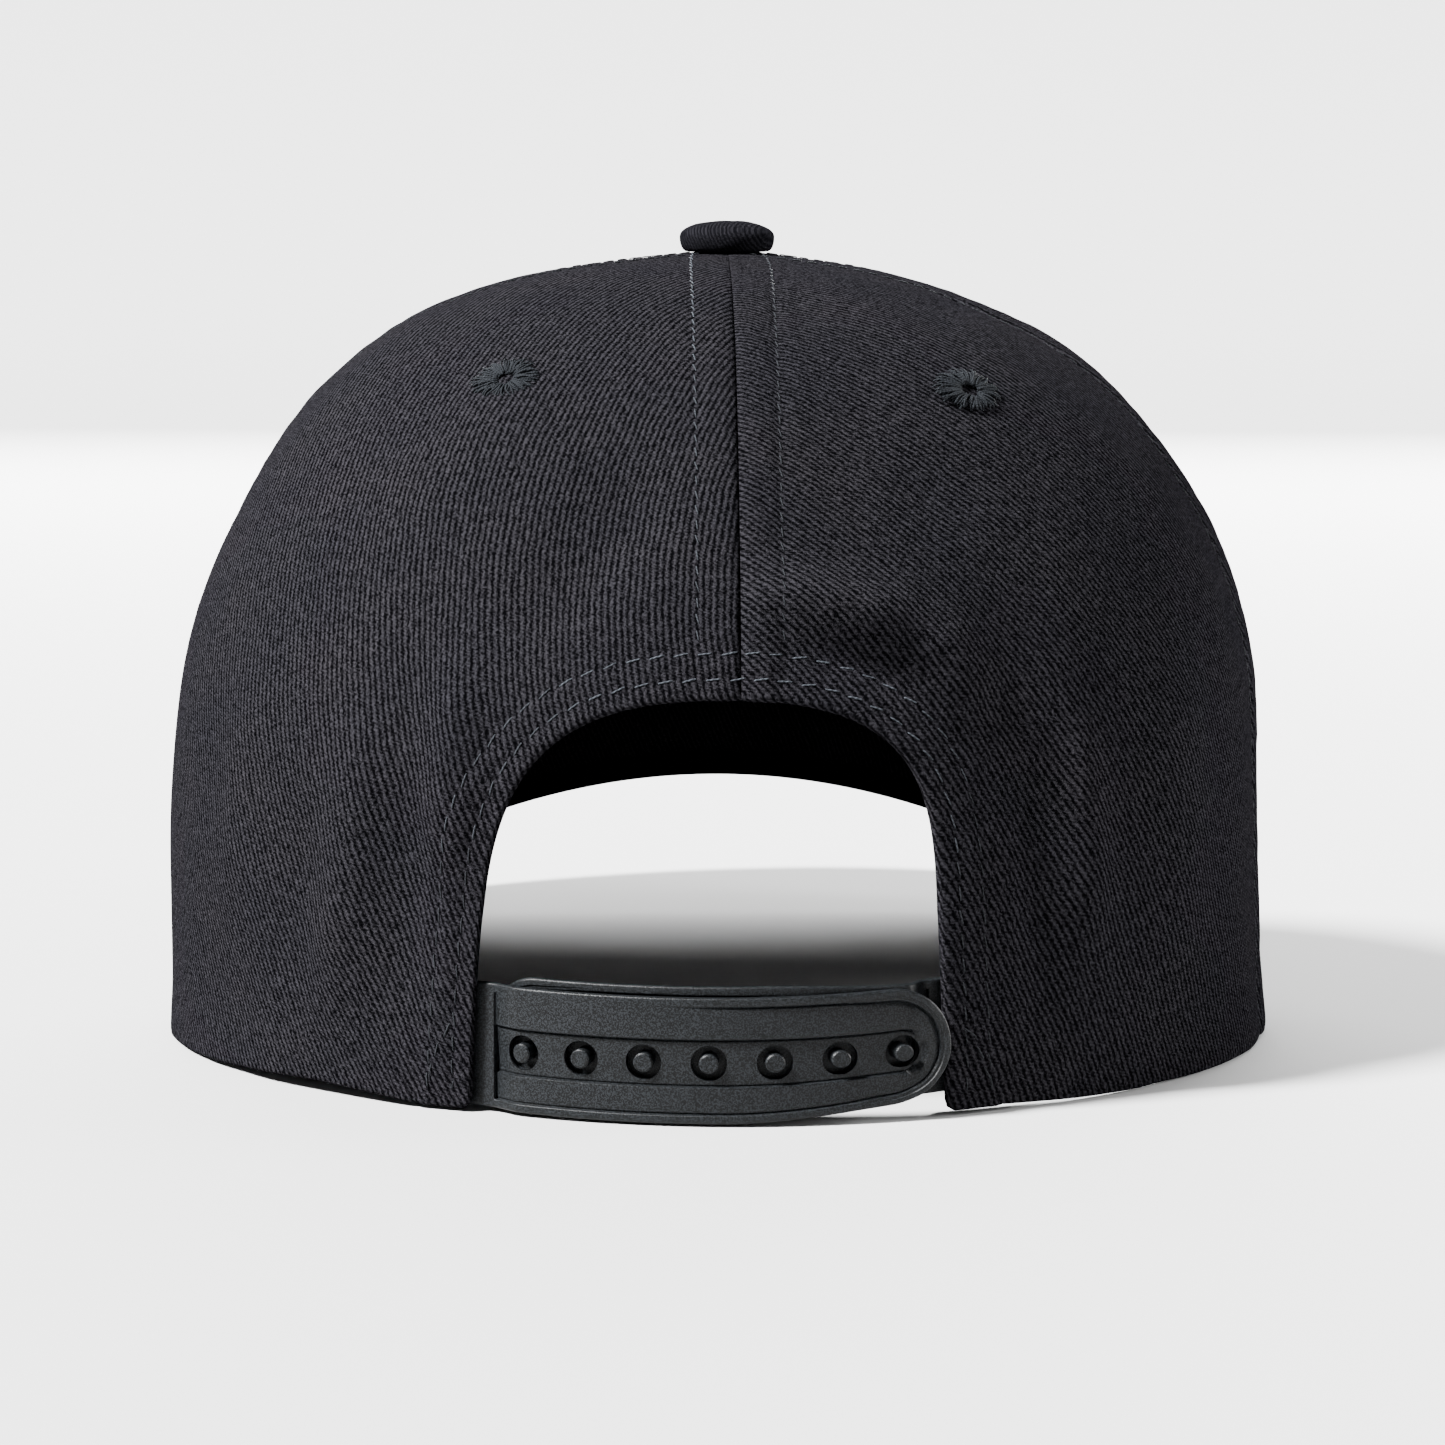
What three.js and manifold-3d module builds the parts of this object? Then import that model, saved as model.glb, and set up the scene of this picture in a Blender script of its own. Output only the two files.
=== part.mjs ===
// Snapback cap: a five-panel cotton twill crown on a stiff peak, with an arched opening at the back
// that a moulded strap closes. Millimetres, +Z up. The back of the cap faces -Y and the peak points
// to +Y, so left and right are those of someone who looks at the back of the cap.
import * as THREE from 'three';
import { mergeVertices } from 'three/addons/utils/BufferGeometryUtils.js';
import Module from 'manifold-3d';

const wasm = await Module();
wasm.setup();
const { lerp, clamp, degToRad, smoothstep } = THREE.MathUtils;

// Crown
const crownHeight = 123.5; // from the hem to the seat of the button
const crownHalfWidth = 86.9;
const crownHalfDepthBack = 89.5;
const crownHalfDepthFront = 96;
const clothThickness = 1.6;
const seamGap = 0.3; // between sewn panels, and between touching pieces

// Back opening: an arch, each side of it a quarter superellipse
const openingHeight = 61;
const openingHalfWidth = 33.8; // half the width between the upright edges
const openingSway = -4.75; // how far the middle of the arch's foot lies from the back seam
const openingCornerRadius = 2.2; // where an upright edge meets the hem
const openingFlare = 1.2; // how much further apart the edges stand at the hem

// Eyelets
const eyeletRadius = 4.9;
const eyeletHoleRadius = 1.1;
const eyeletHeight = 0.9;
const clothHoleRadius = 1.4;

// Button
const buttonRadius = 7.5;
const buttonHeight = 4.9;
const shankRadius = 1.7;
const shankClearance = 0.5;

// Snap closure
const strapHeight = 18.4;
const strapThickness = 1.4;
const strapTuck = 11; // length of strap inside the cloth
const strapPlay = 0.3; // between the two straps
const clothPlay = 0.55; // between a strap and the cloth
const strapLow = 0.2; // height of the straps' lower edge at mid span
const strapRise = { left: 0.3, right: 1.1 }; // how much higher the straps lie at the opening's edges
const strapBulge = 2.2; // how far the straps stand out from the crown's curve at mid span
const pegStrapLift = 0.8; // the inner strap lies this much higher than the outer
const snapCount = 7;
const snapPitch = 9.35;
const snapHoleRadius = 2.6;
const pegRadius = 1.65;
const pegHeight = 1.75;
const borderWidth = 1.1; // raised border round the straps
const fieldDepth = 0.3; // the field inside the border lies this deep
const channelHalfHeight = 3.45; // the holes lie in a shallow channel
const channelDepth = 0.55;
const tabLength = 2.2; // plain stretch between the cloth and the field

// Peak
const peakLength = 70; // from the crown to the front edge
const peakTipReach = 2.5;
const peakOutlinePower = 0.9;
const peakThickness = 3.4;
const peakTipThickness = 1.6;
const peakArch = 28; // rise of its middle over its side edges
const peakDroop = 4; // fall of its front edge

// Degrees of azimuth, the seams' from the back seam and the peak's from the front.
const angles = {
  sideSeamLeft: 94,
  sideSeamRight: 82,
  frontSeam: 130,
  peakHalf: 62,
  fallAway: 34, // past the peak's tip, over which the hem comes down to the floor
  facet: 6.5, // what one facet of a panel spans, about
};

// Sections of the crown from the hem up to the ring round the button's shank. rise is a share of
// crownHeight, sway a share of crownHalfWidth, and width, back and front are shares of the
// half sizes, counted outwards from that ring.
const sections = [
  { rise: 0, width: 1, back: 1, front: 1, sway: -0.018 },
  { rise: 0.16, width: 0.998, back: 1, front: 0.98, sway: -0.025 },
  { rise: 0.32, width: 0.993, back: 0.986, front: 0.953, sway: -0.0235 },
  { rise: 0.48, width: 0.973, back: 0.957, front: 0.917, sway: -0.017 },
  { rise: 0.62, width: 0.916, back: 0.897, front: 0.868, sway: -0.014 },
  { rise: 0.74, width: 0.825, back: 0.807, front: 0.802, sway: -0.0155 },
  { rise: 0.83, width: 0.716, back: 0.697, front: 0.71, sway: -0.0195 },
  { rise: 0.9, width: 0.584, back: 0.57, front: 0.585, sway: -0.026 },
  { rise: 0.945, width: 0.434, back: 0.43, front: 0.445, sway: -0.036 },
  { rise: 0.975, width: 0.265, back: 0.26, front: 0.28, sway: -0.026 },
  { rise: 1, width: 0, back: 0, front: 0, sway: 0 },
];

// Soft folds of the cloth. azimuth and spread are in degrees, height and reach are shares of
// crownHeight, and lift is a share of clothThickness, outwards where it is positive.
const folds = [
  { azimuth: 15, spread: 11, height: 0.58, reach: 0.07, lift: 0.85 },
  { azimuth: 27, spread: 6, height: 0.44, reach: 0.16, lift: -0.75 },
  { azimuth: -64, spread: 9, height: 0.3, reach: 0.22, lift: -0.4 },
  { azimuth: -46, spread: 8, height: 0.32, reach: 0.22, lift: 0.45 },
  { azimuth: -34, spread: 5, height: 0.36, reach: 0.18, lift: -0.5 },
  { azimuth: 52, spread: 9, height: 0.36, reach: 0.24, lift: 0.4 },
];

// Where the hem stands a little off the floor: azimuth and spread in degrees, height as a share
// of crownHeight.
const hemLifts = [
  { azimuth: -47, spread: 14, height: 0.0113 },
  { azimuth: 25, spread: 9, height: 0.0049 },
];

// Places of the eyelets: azimuth in degrees, height as a share of crownHeight.
const eyelets = [
  { name: 'eyelet_back_left', azimuth: -35.2, height: 0.854 },
  { name: 'eyelet_back_right', azimuth: 34.8, height: 0.84 },
  { name: 'eyelet_side_left', azimuth: -114, height: 0.855 },
  { name: 'eyelet_side_right', azimuth: 107, height: 0.855 },
];

const crownLevels = 14; // facets from hem to button
const holeSides = 16;

const twill = new THREE.MeshStandardMaterial({ color: '#26262a', roughness: 0.95, metalness: 0 });
const thread = new THREE.MeshStandardMaterial({ color: '#2c3338', roughness: 0.85, metalness: 0 });
const plastic = new THREE.MeshStandardMaterial({ color: '#2a2e31', roughness: 0.55, metalness: 0 });

const ringRadius = shankRadius + shankClearance;
const cap = new THREE.Group();

// Solids and booleans

function solidOf(geometry) {
  const bare = geometry.index ? geometry.toNonIndexed() : geometry.clone();
  bare.deleteAttribute('normal');
  bare.deleteAttribute('uv');
  const merged = mergeVertices(bare, 1e-4);
  return new wasm.Manifold(new wasm.Mesh({
    numProp: 3,
    vertProperties: merged.attributes.position.array,
    triVerts: new Uint32Array(merged.index.array),
  }));
}

function geometryOf(solid) {
  const mesh = solid.getMesh();
  const geometry = new THREE.BufferGeometry();
  geometry.setAttribute('position', new THREE.Float32BufferAttribute(mesh.vertProperties, 3));
  geometry.setIndex(Array.from(mesh.triVerts));
  return geometry;
}

function addPiece(name, geometry, material) {
  geometry.computeVertexNormals();
  const piece = new THREE.Mesh(geometry, material);
  piece.name = name;
  cap.add(piece);
  return piece;
}

// A closed wall between two grids of points: outerAt and innerAt give a point for a column and a row.
function wallGeometry(columns, rows, outerAt, innerAt) {
  const positions = [];
  const faces = [];
  const across = columns + 1;
  const count = across * (rows + 1);
  for (const pointAt of [outerAt, innerAt]) {
    for (let row = 0; row <= rows; row++) {
      for (let column = 0; column <= columns; column++) {
        positions.push(...pointAt(column, row).toArray());
      }
    }
  }
  const outer = (column, row) => row * across + column;
  const inner = (column, row) => count + outer(column, row);
  const quad = (a, b, c, d) => faces.push(a, b, c, a, c, d);
  for (let row = 0; row < rows; row++) {
    for (let column = 0; column < columns; column++) {
      quad(outer(column, row), outer(column + 1, row), outer(column + 1, row + 1), outer(column, row + 1));
      quad(inner(column, row), inner(column, row + 1), inner(column + 1, row + 1), inner(column + 1, row));
    }
    quad(inner(0, row), outer(0, row), outer(0, row + 1), inner(0, row + 1));
    quad(outer(columns, row), inner(columns, row), inner(columns, row + 1), outer(columns, row + 1));
  }
  for (let column = 0; column < columns; column++) {
    quad(inner(column, 0), inner(column + 1, 0), outer(column + 1, 0), outer(column, 0));
    quad(outer(column, rows), outer(column + 1, rows), inner(column + 1, rows), inner(column, rows));
  }
  const geometry = new THREE.BufferGeometry();
  geometry.setAttribute('position', new THREE.Float32BufferAttribute(positions, 3));
  geometry.setIndex(faces);
  return geometry;
}

// Crown surface

// A column of the sections table at a level from 0 to 1, on a smooth curve through its rows.
function sectionValue(column, level) {
  const last = sections.length - 1;
  const place = clamp(level, 0, 1) * last;
  const row = Math.min(Math.floor(place), last - 1);
  const t = place - row;
  const [a, b, c, d] = [row - 1, row, row + 1, row + 2].map((k) => sections[clamp(k, 0, last)][column]);
  return b + 0.5 * t * (c - a + t * (2 * a - 5 * b + 4 * c - d + t * (3 * (b - c) + d - a)));
}

function levelAtRise(rise) {
  let low = 0;
  let high = 1;
  for (let step = 0; step < 30; step++) {
    const middle = (low + high) / 2;
    if (sectionValue('rise', middle) < rise) low = middle;
    else high = middle;
  }
  return (low + high) / 2;
}

// Distance of the cloth's outer face from the crown's axis, before folds.
function crownRadius(azimuth, level) {
  const reach = (half, column) => ringRadius + (half - ringRadius) * sectionValue(column, level);
  const width = reach(crownHalfWidth, 'width');
  const facesBack = Math.cos(azimuth) > 0;
  const depth = facesBack ? reach(crownHalfDepthBack, 'back') : reach(crownHalfDepthFront, 'front');
  return 1 / Math.hypot(Math.sin(azimuth) / width, Math.cos(azimuth) / depth);
}

function foldLift(azimuth, rise) {
  let lift = 0;
  for (const fold of folds) {
    const across = (azimuth - degToRad(fold.azimuth)) / degToRad(fold.spread);
    const along = (rise - fold.height) / fold.reach;
    lift += fold.lift * clothThickness * Math.exp(-across * across - along * along);
  }
  return lift;
}

// Azimuth from the front, in degrees, of an azimuth from the back in radians.
function degreesFromFront(azimuth) {
  return 180 - Math.abs(THREE.MathUtils.radToDeg(azimuth));
}

// The peak is an arch across the cap, highest in the middle, and its side edges reach down to z = 0.
function peakUnderside(x, y) {
  const widest = peakHalfWidth();
  const forward = clamp((y - crownHalfDepthFront) / peakLength, 0, 1);
  const arch = peakArch - peakDroop * forward;
  return Math.max(0, arch * (1 - (x / widest) ** 2));
}

function peakWall(fromFront) {
  const share = smoothstep(angles.peakHalf - fromFront, 0, 0.35 * angles.peakHalf);
  return lerp(peakTipThickness, peakThickness, share);
}

function peakReach(fromFront) {
  const share = Math.cos((Math.PI / 2) * Math.min(1, fromFront / angles.peakHalf)) ** peakOutlinePower;
  return lerp(peakTipReach, peakLength, share);
}

// The inner edge of the hem, seen from above.
function rimPoint(azimuth) {
  const radius = crownRadius(azimuth, 0) - clothThickness;
  return new THREE.Vector2(radius * Math.sin(azimuth), -radius * Math.cos(azimuth));
}

function peakHalfWidth() {
  let widest = 0;
  for (let fromFront = 0; fromFront <= angles.peakHalf; fromFront++) {
    const radius = crownRadius(Math.PI - degToRad(fromFront), 0) + peakReach(fromFront);
    widest = Math.max(widest, radius * Math.sin(degToRad(fromFront)));
  }
  return widest;
}

// Height of the hem: on the floor at the sides and the back, on top of the peak in front.
function hemHeight(azimuth) {
  const fromFront = degreesFromFront(azimuth);
  const tipAzimuth = Math.sign(azimuth || 1) * (Math.PI - degToRad(angles.peakHalf));
  const overPeak = fromFront <= angles.peakHalf;
  const rim = rimPoint(overPeak ? azimuth : tipAzimuth);
  const top = peakUnderside(rim.x, rim.y) + peakWall(Math.min(fromFront, angles.peakHalf)) + seamGap;
  if (overPeak) return top;
  let height = top * smoothstep(angles.peakHalf + angles.fallAway - fromFront, 0, angles.fallAway);
  for (const lift of hemLifts) {
    const across = (azimuth - degToRad(lift.azimuth)) / degToRad(lift.spread);
    height += crownHeight * lift.height * Math.exp(-across * across);
  }
  return height;
}

// A point of the cloth's outer face.
function crownPoint(azimuth, level) {
  const rise = sectionValue('rise', level);
  const radius = crownRadius(azimuth, level) + foldLift(azimuth, rise);
  const sway = crownHalfWidth * sectionValue('sway', level) * Math.sin(azimuth) ** 2;
  const z = crownHeight * rise + hemHeight(azimuth) * (1 - rise) ** 3;
  return new THREE.Vector3(sway + radius * Math.sin(azimuth), -radius * Math.cos(azimuth), z);
}

function crownNormal(azimuth, level) {
  const step = 1e-3;
  const low = Math.max(level - step, 0);
  const high = Math.min(level + step, 1);
  const along = crownPoint(azimuth + step, level).sub(crownPoint(azimuth - step, level));
  const up = crownPoint(azimuth, high).sub(crownPoint(azimuth, low));
  return along.cross(up).normalize();
}

// A point of the cloth's inner face. At the hem and at the ring it stays level with the outer face.
function crownInnerPoint(azimuth, level) {
  const outer = crownPoint(azimuth, level);
  const normal = crownNormal(azimuth, level);
  const inner = outer.clone().addScaledVector(normal, -clothThickness);
  if (level === 0) {
    const inward = new THREE.Vector3(normal.x, normal.y, 0).normalize();
    inner.copy(outer).addScaledVector(inward, -clothThickness);
  }
  if (level === 1) inner.set(outer.x, outer.y, outer.z - clothThickness);
  return inner;
}

// A panel between two seams, in degrees of azimuth, with half the seam gap left at each.
function panelGeometry(from, to) {
  const columns = Math.max(4, Math.round((to - from) / angles.facet));
  const azimuthAt = (column, level) => {
    const start = degToRad(from);
    const end = degToRad(to);
    const startInset = Math.asin(seamGap / 2 / crownRadius(start, level));
    const endInset = Math.asin(seamGap / 2 / crownRadius(end, level));
    return lerp(start + startInset, end - endInset, column / columns);
  };
  const at = (pointAt) => (column, row) => {
    const level = row / crownLevels;
    return pointAt(azimuthAt(column, level), level);
  };
  return wallGeometry(columns, crownLevels, at(crownPoint), at(crownInnerPoint));
}

// Back opening

// Width of the opening on one side of the back seam, at a height.
function openingEdge(side, height) {
  const half = openingHalfWidth + side * openingSway;
  const [widthPower, heightPower] = side < 0 ? [2.8, 4.2] : [2.1, 7];
  const share = clamp(height / openingHeight, 0, 1);
  const flare = openingFlare * clamp(1 - (2 * height) / openingHeight, 0, 1);
  return half * (1 - share ** heightPower) ** (1 / widthPower) + flare;
}

// The arch seen from the back, with its feet rounded outwards into the hem.
function openingShape() {
  const shape = new THREE.Shape();
  const below = -5;
  const steps = 14;
  const foot = (side) => side * (openingEdge(side, openingCornerRadius) + openingCornerRadius);
  shape.moveTo(foot(-1), below);
  shape.lineTo(foot(1), below);
  shape.lineTo(foot(1), 0);
  shape.absarc(foot(1), openingCornerRadius, openingCornerRadius, -Math.PI / 2, -Math.PI, true);
  for (let step = 1; step < steps; step++) {
    const height = openingHeight * Math.sin((Math.PI / 2) * (step / steps));
    if (height > 2 * openingCornerRadius) shape.lineTo(openingEdge(1, height), height);
  }
  shape.lineTo(0, openingHeight);
  for (let step = steps - 1; step > 0; step--) {
    const height = openingHeight * Math.sin((Math.PI / 2) * (step / steps));
    if (height > 2 * openingCornerRadius) shape.lineTo(-openingEdge(-1, height), height);
  }
  shape.absarc(foot(-1), openingCornerRadius, openingCornerRadius, 0, -Math.PI / 2, true);
  shape.closePath();
  return shape;
}

function openingCutter() {
  const geometry = new THREE.ExtrudeGeometry(openingShape(), {
    depth: crownHalfDepthBack,
    bevelEnabled: false,
    curveSegments: 4,
  });
  geometry.rotateX(Math.PI / 2); // the shape's own y becomes height, and it is cut towards -Y
  geometry.translate(0, -crownHalfDepthBack / 3, 0);
  return solidOf(geometry);
}

// Eyelets

function eyeletPlace({ azimuth, height }) {
  const level = levelAtRise(height);
  const angle = degToRad(azimuth);
  const point = crownPoint(angle, level);
  const normal = crownNormal(angle, level);
  const turn = new THREE.Quaternion().setFromUnitVectors(new THREE.Vector3(0, 1, 0), normal);
  return { point, normal, turn };
}

function eyeletHoleCutter(eyelet) {
  const { point, turn } = eyeletPlace(eyelet);
  const geometry = new THREE.CylinderGeometry(clothHoleRadius, clothHoleRadius, 8 * clothThickness, 8);
  geometry.applyQuaternion(turn);
  geometry.translate(...point.toArray());
  return solidOf(geometry);
}

// A ring with a rounded back, worked round the hole in the cloth.
function addEyelet(eyelet) {
  const { point, normal, turn } = eyeletPlace(eyelet);
  const steps = 6;
  const profile = [new THREE.Vector2(eyeletHoleRadius, 0)];
  for (let step = 0; step <= steps; step++) {
    const angle = (Math.PI * step) / steps;
    const middle = (eyeletRadius + eyeletHoleRadius) / 2;
    const half = (eyeletRadius - eyeletHoleRadius) / 2;
    profile.push(new THREE.Vector2(
      middle - half * Math.cos(angle),
      0.2 + (eyeletHeight - 0.2) * Math.sin(angle) ** 0.7,
    ));
  }
  profile.push(new THREE.Vector2(eyeletRadius, 0), new THREE.Vector2(eyeletHoleRadius, 0));
  const piece = addPiece(eyelet.name, new THREE.LatheGeometry(profile.reverse(), 18), thread);
  piece.quaternion.copy(turn);
  piece.position.copy(point).addScaledVector(normal, seamGap);
}

// Panels

function addPanels() {
  const arch = openingCutter();
  const panels = [
    { name: 'back_panel_left', from: -angles.sideSeamLeft, to: 0, open: true },
    { name: 'back_panel_right', from: 0, to: angles.sideSeamRight, open: true },
    { name: 'side_panel_left', from: -angles.frontSeam, to: -angles.sideSeamLeft, open: false },
    { name: 'side_panel_right', from: angles.sideSeamRight, to: angles.frontSeam, open: false },
    { name: 'front_panel', from: angles.frontSeam, to: 360 - angles.frontSeam, open: false },
  ];
  for (const { name, from, to, open } of panels) {
    let solid = solidOf(panelGeometry(from, to));
    if (open) solid = solid.subtract(arch);
    for (const eyelet of eyelets) {
      if (eyelet.azimuth > from && eyelet.azimuth < to) solid = solid.subtract(eyeletHoleCutter(eyelet));
    }
    addPiece(name, geometryOf(solid), twill);
  }
}

// Button

// A cloth-covered dome, narrower at its foot, on a shank that holds the tips of the panels.
function addButton() {
  const seat = seamGap;
  const waist = seat + 0.42 * buttonHeight;
  const profile = [
    new THREE.Vector2(0, -2 * clothThickness),
    new THREE.Vector2(shankRadius, -2 * clothThickness),
    new THREE.Vector2(shankRadius, seat),
    new THREE.Vector2(0.9 * buttonRadius, seat),
    new THREE.Vector2(0.98 * buttonRadius, lerp(seat, waist, 0.5)),
  ];
  const steps = 6;
  for (let step = 0; step < steps; step++) {
    const angle = ((Math.PI / 2) * step) / steps;
    profile.push(new THREE.Vector2(
      buttonRadius * Math.cos(angle) ** 0.85,
      waist + (buttonHeight + seat - waist) * Math.sin(angle) ** 0.85,
    ));
  }
  profile.push(new THREE.Vector2(0, seat + buttonHeight));
  const geometry = new THREE.LatheGeometry(profile, 20);
  geometry.rotateX(Math.PI / 2);
  const piece = addPiece('top_button', geometry, twill);
  piece.position.z = crownHeight;
}

// Snap closure

// The line that the straps follow: the crown's outer face behind the opening, by length.
class BackCurve extends THREE.Curve {
  getPoint(t) {
    const span = degToRad(110);
    const azimuth = lerp(-span / 2, span / 2, t);
    const point = crownPoint(azimuth, levelAtRise(0.5 * (strapHeight / crownHeight)));
    return point.setZ(0);
  }
}
const backCurve = new BackCurve();
backCurve.arcLengthDivisions = 400;
const backLength = backCurve.getLength();
const openingMiddle = nearestLength(openingSway);

// Length along the curve at which it passes a sideways place.
function nearestLength(x) {
  let low = 0;
  let high = 1;
  for (let step = 0; step < 30; step++) {
    const middle = (low + high) / 2;
    if (backCurve.getPointAt(middle).x < x) low = middle;
    else high = middle;
  }
  return low * backLength;
}

// A point at a length along the straps from the middle of the opening, a distance out from the
// crown's outer face, and a height.
function strapPoint(along, out, z) {
  const u = clamp((openingMiddle + along) / backLength, 0, 1);
  const tangent = backCurve.getTangentAt(u);
  const outward = new THREE.Vector3(tangent.y, -tangent.x, 0).normalize();
  return backCurve.getPointAt(u).addScaledVector(outward, out).setZ(z);
}

const lastSnap = (snapPitch * (snapCount - 1)) / 2;
const halfStrap = strapHeight / 2;
const insideCloth = -(clothThickness + clothPlay); // outer face of a strap where the cloth covers it
const overCloth = strapThickness + clothPlay; // outer face of a strap that lies over the cloth
const atFirstSnap = lerp(insideCloth, overCloth, 0.36);
const atLastSnap = lerp(insideCloth, overCloth, 0.86);

// How far a strap's outer face lies out from the crown, for the strap with the holes. The strap
// leaves the left cloth from inside and ends on the outside of the right cloth.
function holeStrapOut(along) {
  const bulge = strapBulge * Math.max(0, 1 - (along / openingHalfWidth) ** 2);
  if (along < -lastSnap) {
    return bulge + lerp(insideCloth, atFirstSnap, smoothstep(along, -openingHalfWidth, -lastSnap));
  }
  if (along < lastSnap) {
    return bulge + lerp(atFirstSnap, atLastSnap, (along + lastSnap) / (2 * lastSnap));
  }
  return bulge + lerp(atLastSnap, overCloth, clamp((along - lastSnap) / 4, 0, 1));
}

// The strap with the pegs lies behind the other one, and goes inside the right cloth.
function pegStrapOut(along) {
  const behind = holeStrapOut(along) - strapThickness - strapPlay;
  return lerp(behind, insideCloth, smoothstep(along, lastSnap + 1, openingHalfWidth - 1));
}

function holeStrapLow(along) {
  const rise = along < 0 ? strapRise.left : strapRise.right;
  return strapLow + rise * (along / openingHalfWidth) ** 2;
}

const pegStrapLow = (along) => holeStrapLow(along) + pegStrapLift;

// A band bent along the straps' line, square at one end and round at the other. side is +1 where
// the round end is on the right. inner and outer give its faces, and low its strap's lower edge.
function bandSolid({ side, squareEnd, roundEnd, halfHeight, inner, outer, low }) {
  const straight = roundEnd - halfHeight;
  const straightSteps = Math.max(2, Math.round((straight - squareEnd) / 4.5));
  const roundSteps = 8;
  const stations = [];
  for (let step = 0; step < straightSteps; step++) {
    stations.push({ along: lerp(squareEnd, straight, step / straightSteps), half: halfHeight });
  }
  for (let step = 0; step < roundSteps; step++) {
    const angle = ((Math.PI / 2) * step) / roundSteps;
    const along = straight + halfHeight * Math.sin(angle);
    stations.push({ along, half: halfHeight * Math.cos(angle) });
  }
  if (side < 0) {
    stations.reverse();
    for (const station of stations) station.along *= -1;
  }
  const pointAt = (face) => (column, row) => {
    const { along, half } = stations[column];
    const middle = low(along) + halfStrap;
    return strapPoint(along, face(along), middle + (row ? half : -half));
  };
  return solidOf(wallGeometry(stations.length - 1, 1, pointAt(outer), pointAt(inner)));
}

// The plain strap with its field sunk inside a raised border.
function strapBody(side, out, low) {
  const roundEnd = openingHalfWidth + 1.5;
  const fieldStart = -(openingHalfWidth - tabLength);
  const above = (along) => out(along) + strapThickness;
  const band = (shape) => bandSolid({ side, outer: above, low, ...shape });
  const body = band({
    squareEnd: -(openingHalfWidth + strapTuck),
    roundEnd,
    halfHeight: halfStrap,
    inner: (along) => out(along) - strapThickness,
    outer: out,
  });
  const field = band({
    squareEnd: fieldStart,
    roundEnd: roundEnd - borderWidth,
    halfHeight: halfStrap - borderWidth,
    inner: (along) => out(along) - fieldDepth,
  });
  return { body: body.subtract(field), band, fieldStart };
}

// A short round bar standing on the straps' line, from one distance out to another.
function snapBar(along, from, to, radius, topRadius, z) {
  const bar = new THREE.CylinderGeometry(topRadius, radius, to - from, holeSides);
  const foot = strapPoint(along, from, z);
  const head = strapPoint(along, to, z);
  const outward = head.clone().sub(foot).normalize();
  bar.applyQuaternion(new THREE.Quaternion().setFromUnitVectors(new THREE.Vector3(0, 1, 0), outward));
  bar.translate(...foot.add(head).multiplyScalar(0.5).toArray());
  return solidOf(bar);
}

const snapPlaces = Array.from({ length: snapCount }, (_, snap) => snapPitch * snap - lastSnap);

// A snap stands square on the strap, so both straps take its height from the strap with the holes.
const snapHeight = (along) => holeStrapLow(along) + halfStrap;

function addStrapWithHoles() {
  const { body, band, fieldStart } = strapBody(1, holeStrapOut, holeStrapLow);
  const channel = band({
    squareEnd: fieldStart,
    roundEnd: lastSnap + channelHalfHeight,
    halfHeight: channelHalfHeight,
    inner: (along) => holeStrapOut(along) - channelDepth,
  });
  let strap = body.subtract(channel);
  for (const along of snapPlaces) {
    const out = holeStrapOut(along);
    const reach = 2 * strapThickness;
    strap = strap.subtract(
      snapBar(along, out - reach, out + strapThickness, snapHoleRadius, snapHoleRadius, snapHeight(along)),
    );
  }
  addPiece('strap_with_holes', geometryOf(strap), plastic);
}

function addStrapWithPegs() {
  let strap = strapBody(-1, pegStrapOut, pegStrapLow).body;
  for (const along of snapPlaces) {
    const out = pegStrapOut(along);
    const foot = out - strapThickness / 2;
    const shoulder = out + 0.8 * pegHeight;
    const head = out + pegHeight;
    const z = snapHeight(along);
    strap = strap.add(snapBar(along, foot, shoulder, pegRadius, pegRadius, z));
    strap = strap.add(snapBar(along, shoulder - 0.1, head, pegRadius, 0.82 * pegRadius, z));
  }
  addPiece('strap_with_pegs', geometryOf(strap), plastic);
}

// Peak

function addPeak() {
  const columns = 30;
  const rows = 6;
  const rootInset = clothThickness; // the peak reaches in under the crown's wall
  const at = (onTop) => (column, row) => {
    const angle = lerp(-angles.peakHalf, angles.peakHalf, column / columns);
    const azimuth = Math.PI - degToRad(angle);
    const fromFront = Math.abs(angle);
    const start = crownRadius(azimuth, 0) - rootInset;
    const radius = lerp(start, start + rootInset + peakReach(fromFront), row / rows);
    const sway = crownHalfWidth * sections[0].sway * Math.sin(azimuth) ** 2;
    const x = radius * Math.sin(azimuth);
    const y = -radius * Math.cos(azimuth);
    const z = peakUnderside(x, y) + (onTop ? peakWall(fromFront) : 0);
    return new THREE.Vector3(sway + x, y, z);
  };
  addPiece('peak', wallGeometry(columns, rows, at(true), at(false)), twill);
}

addPanels();
for (const eyelet of eyelets) addEyelet(eyelet);
addButton();
addStrapWithHoles();
addStrapWithPegs();
addPeak();

// The origin is at the middle of the cap's footprint, on the surface that it rests on.
const footprint = new THREE.Box3().setFromObject(cap);
const middle = footprint.getCenter(new THREE.Vector3());
cap.position.set(-middle.x, -middle.y, -footprint.min.z);

export default cap;
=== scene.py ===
import math
import random
import bmesh
import bpy
import numpy as np
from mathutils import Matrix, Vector, noise
from mathutils.kdtree import KDTree


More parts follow.
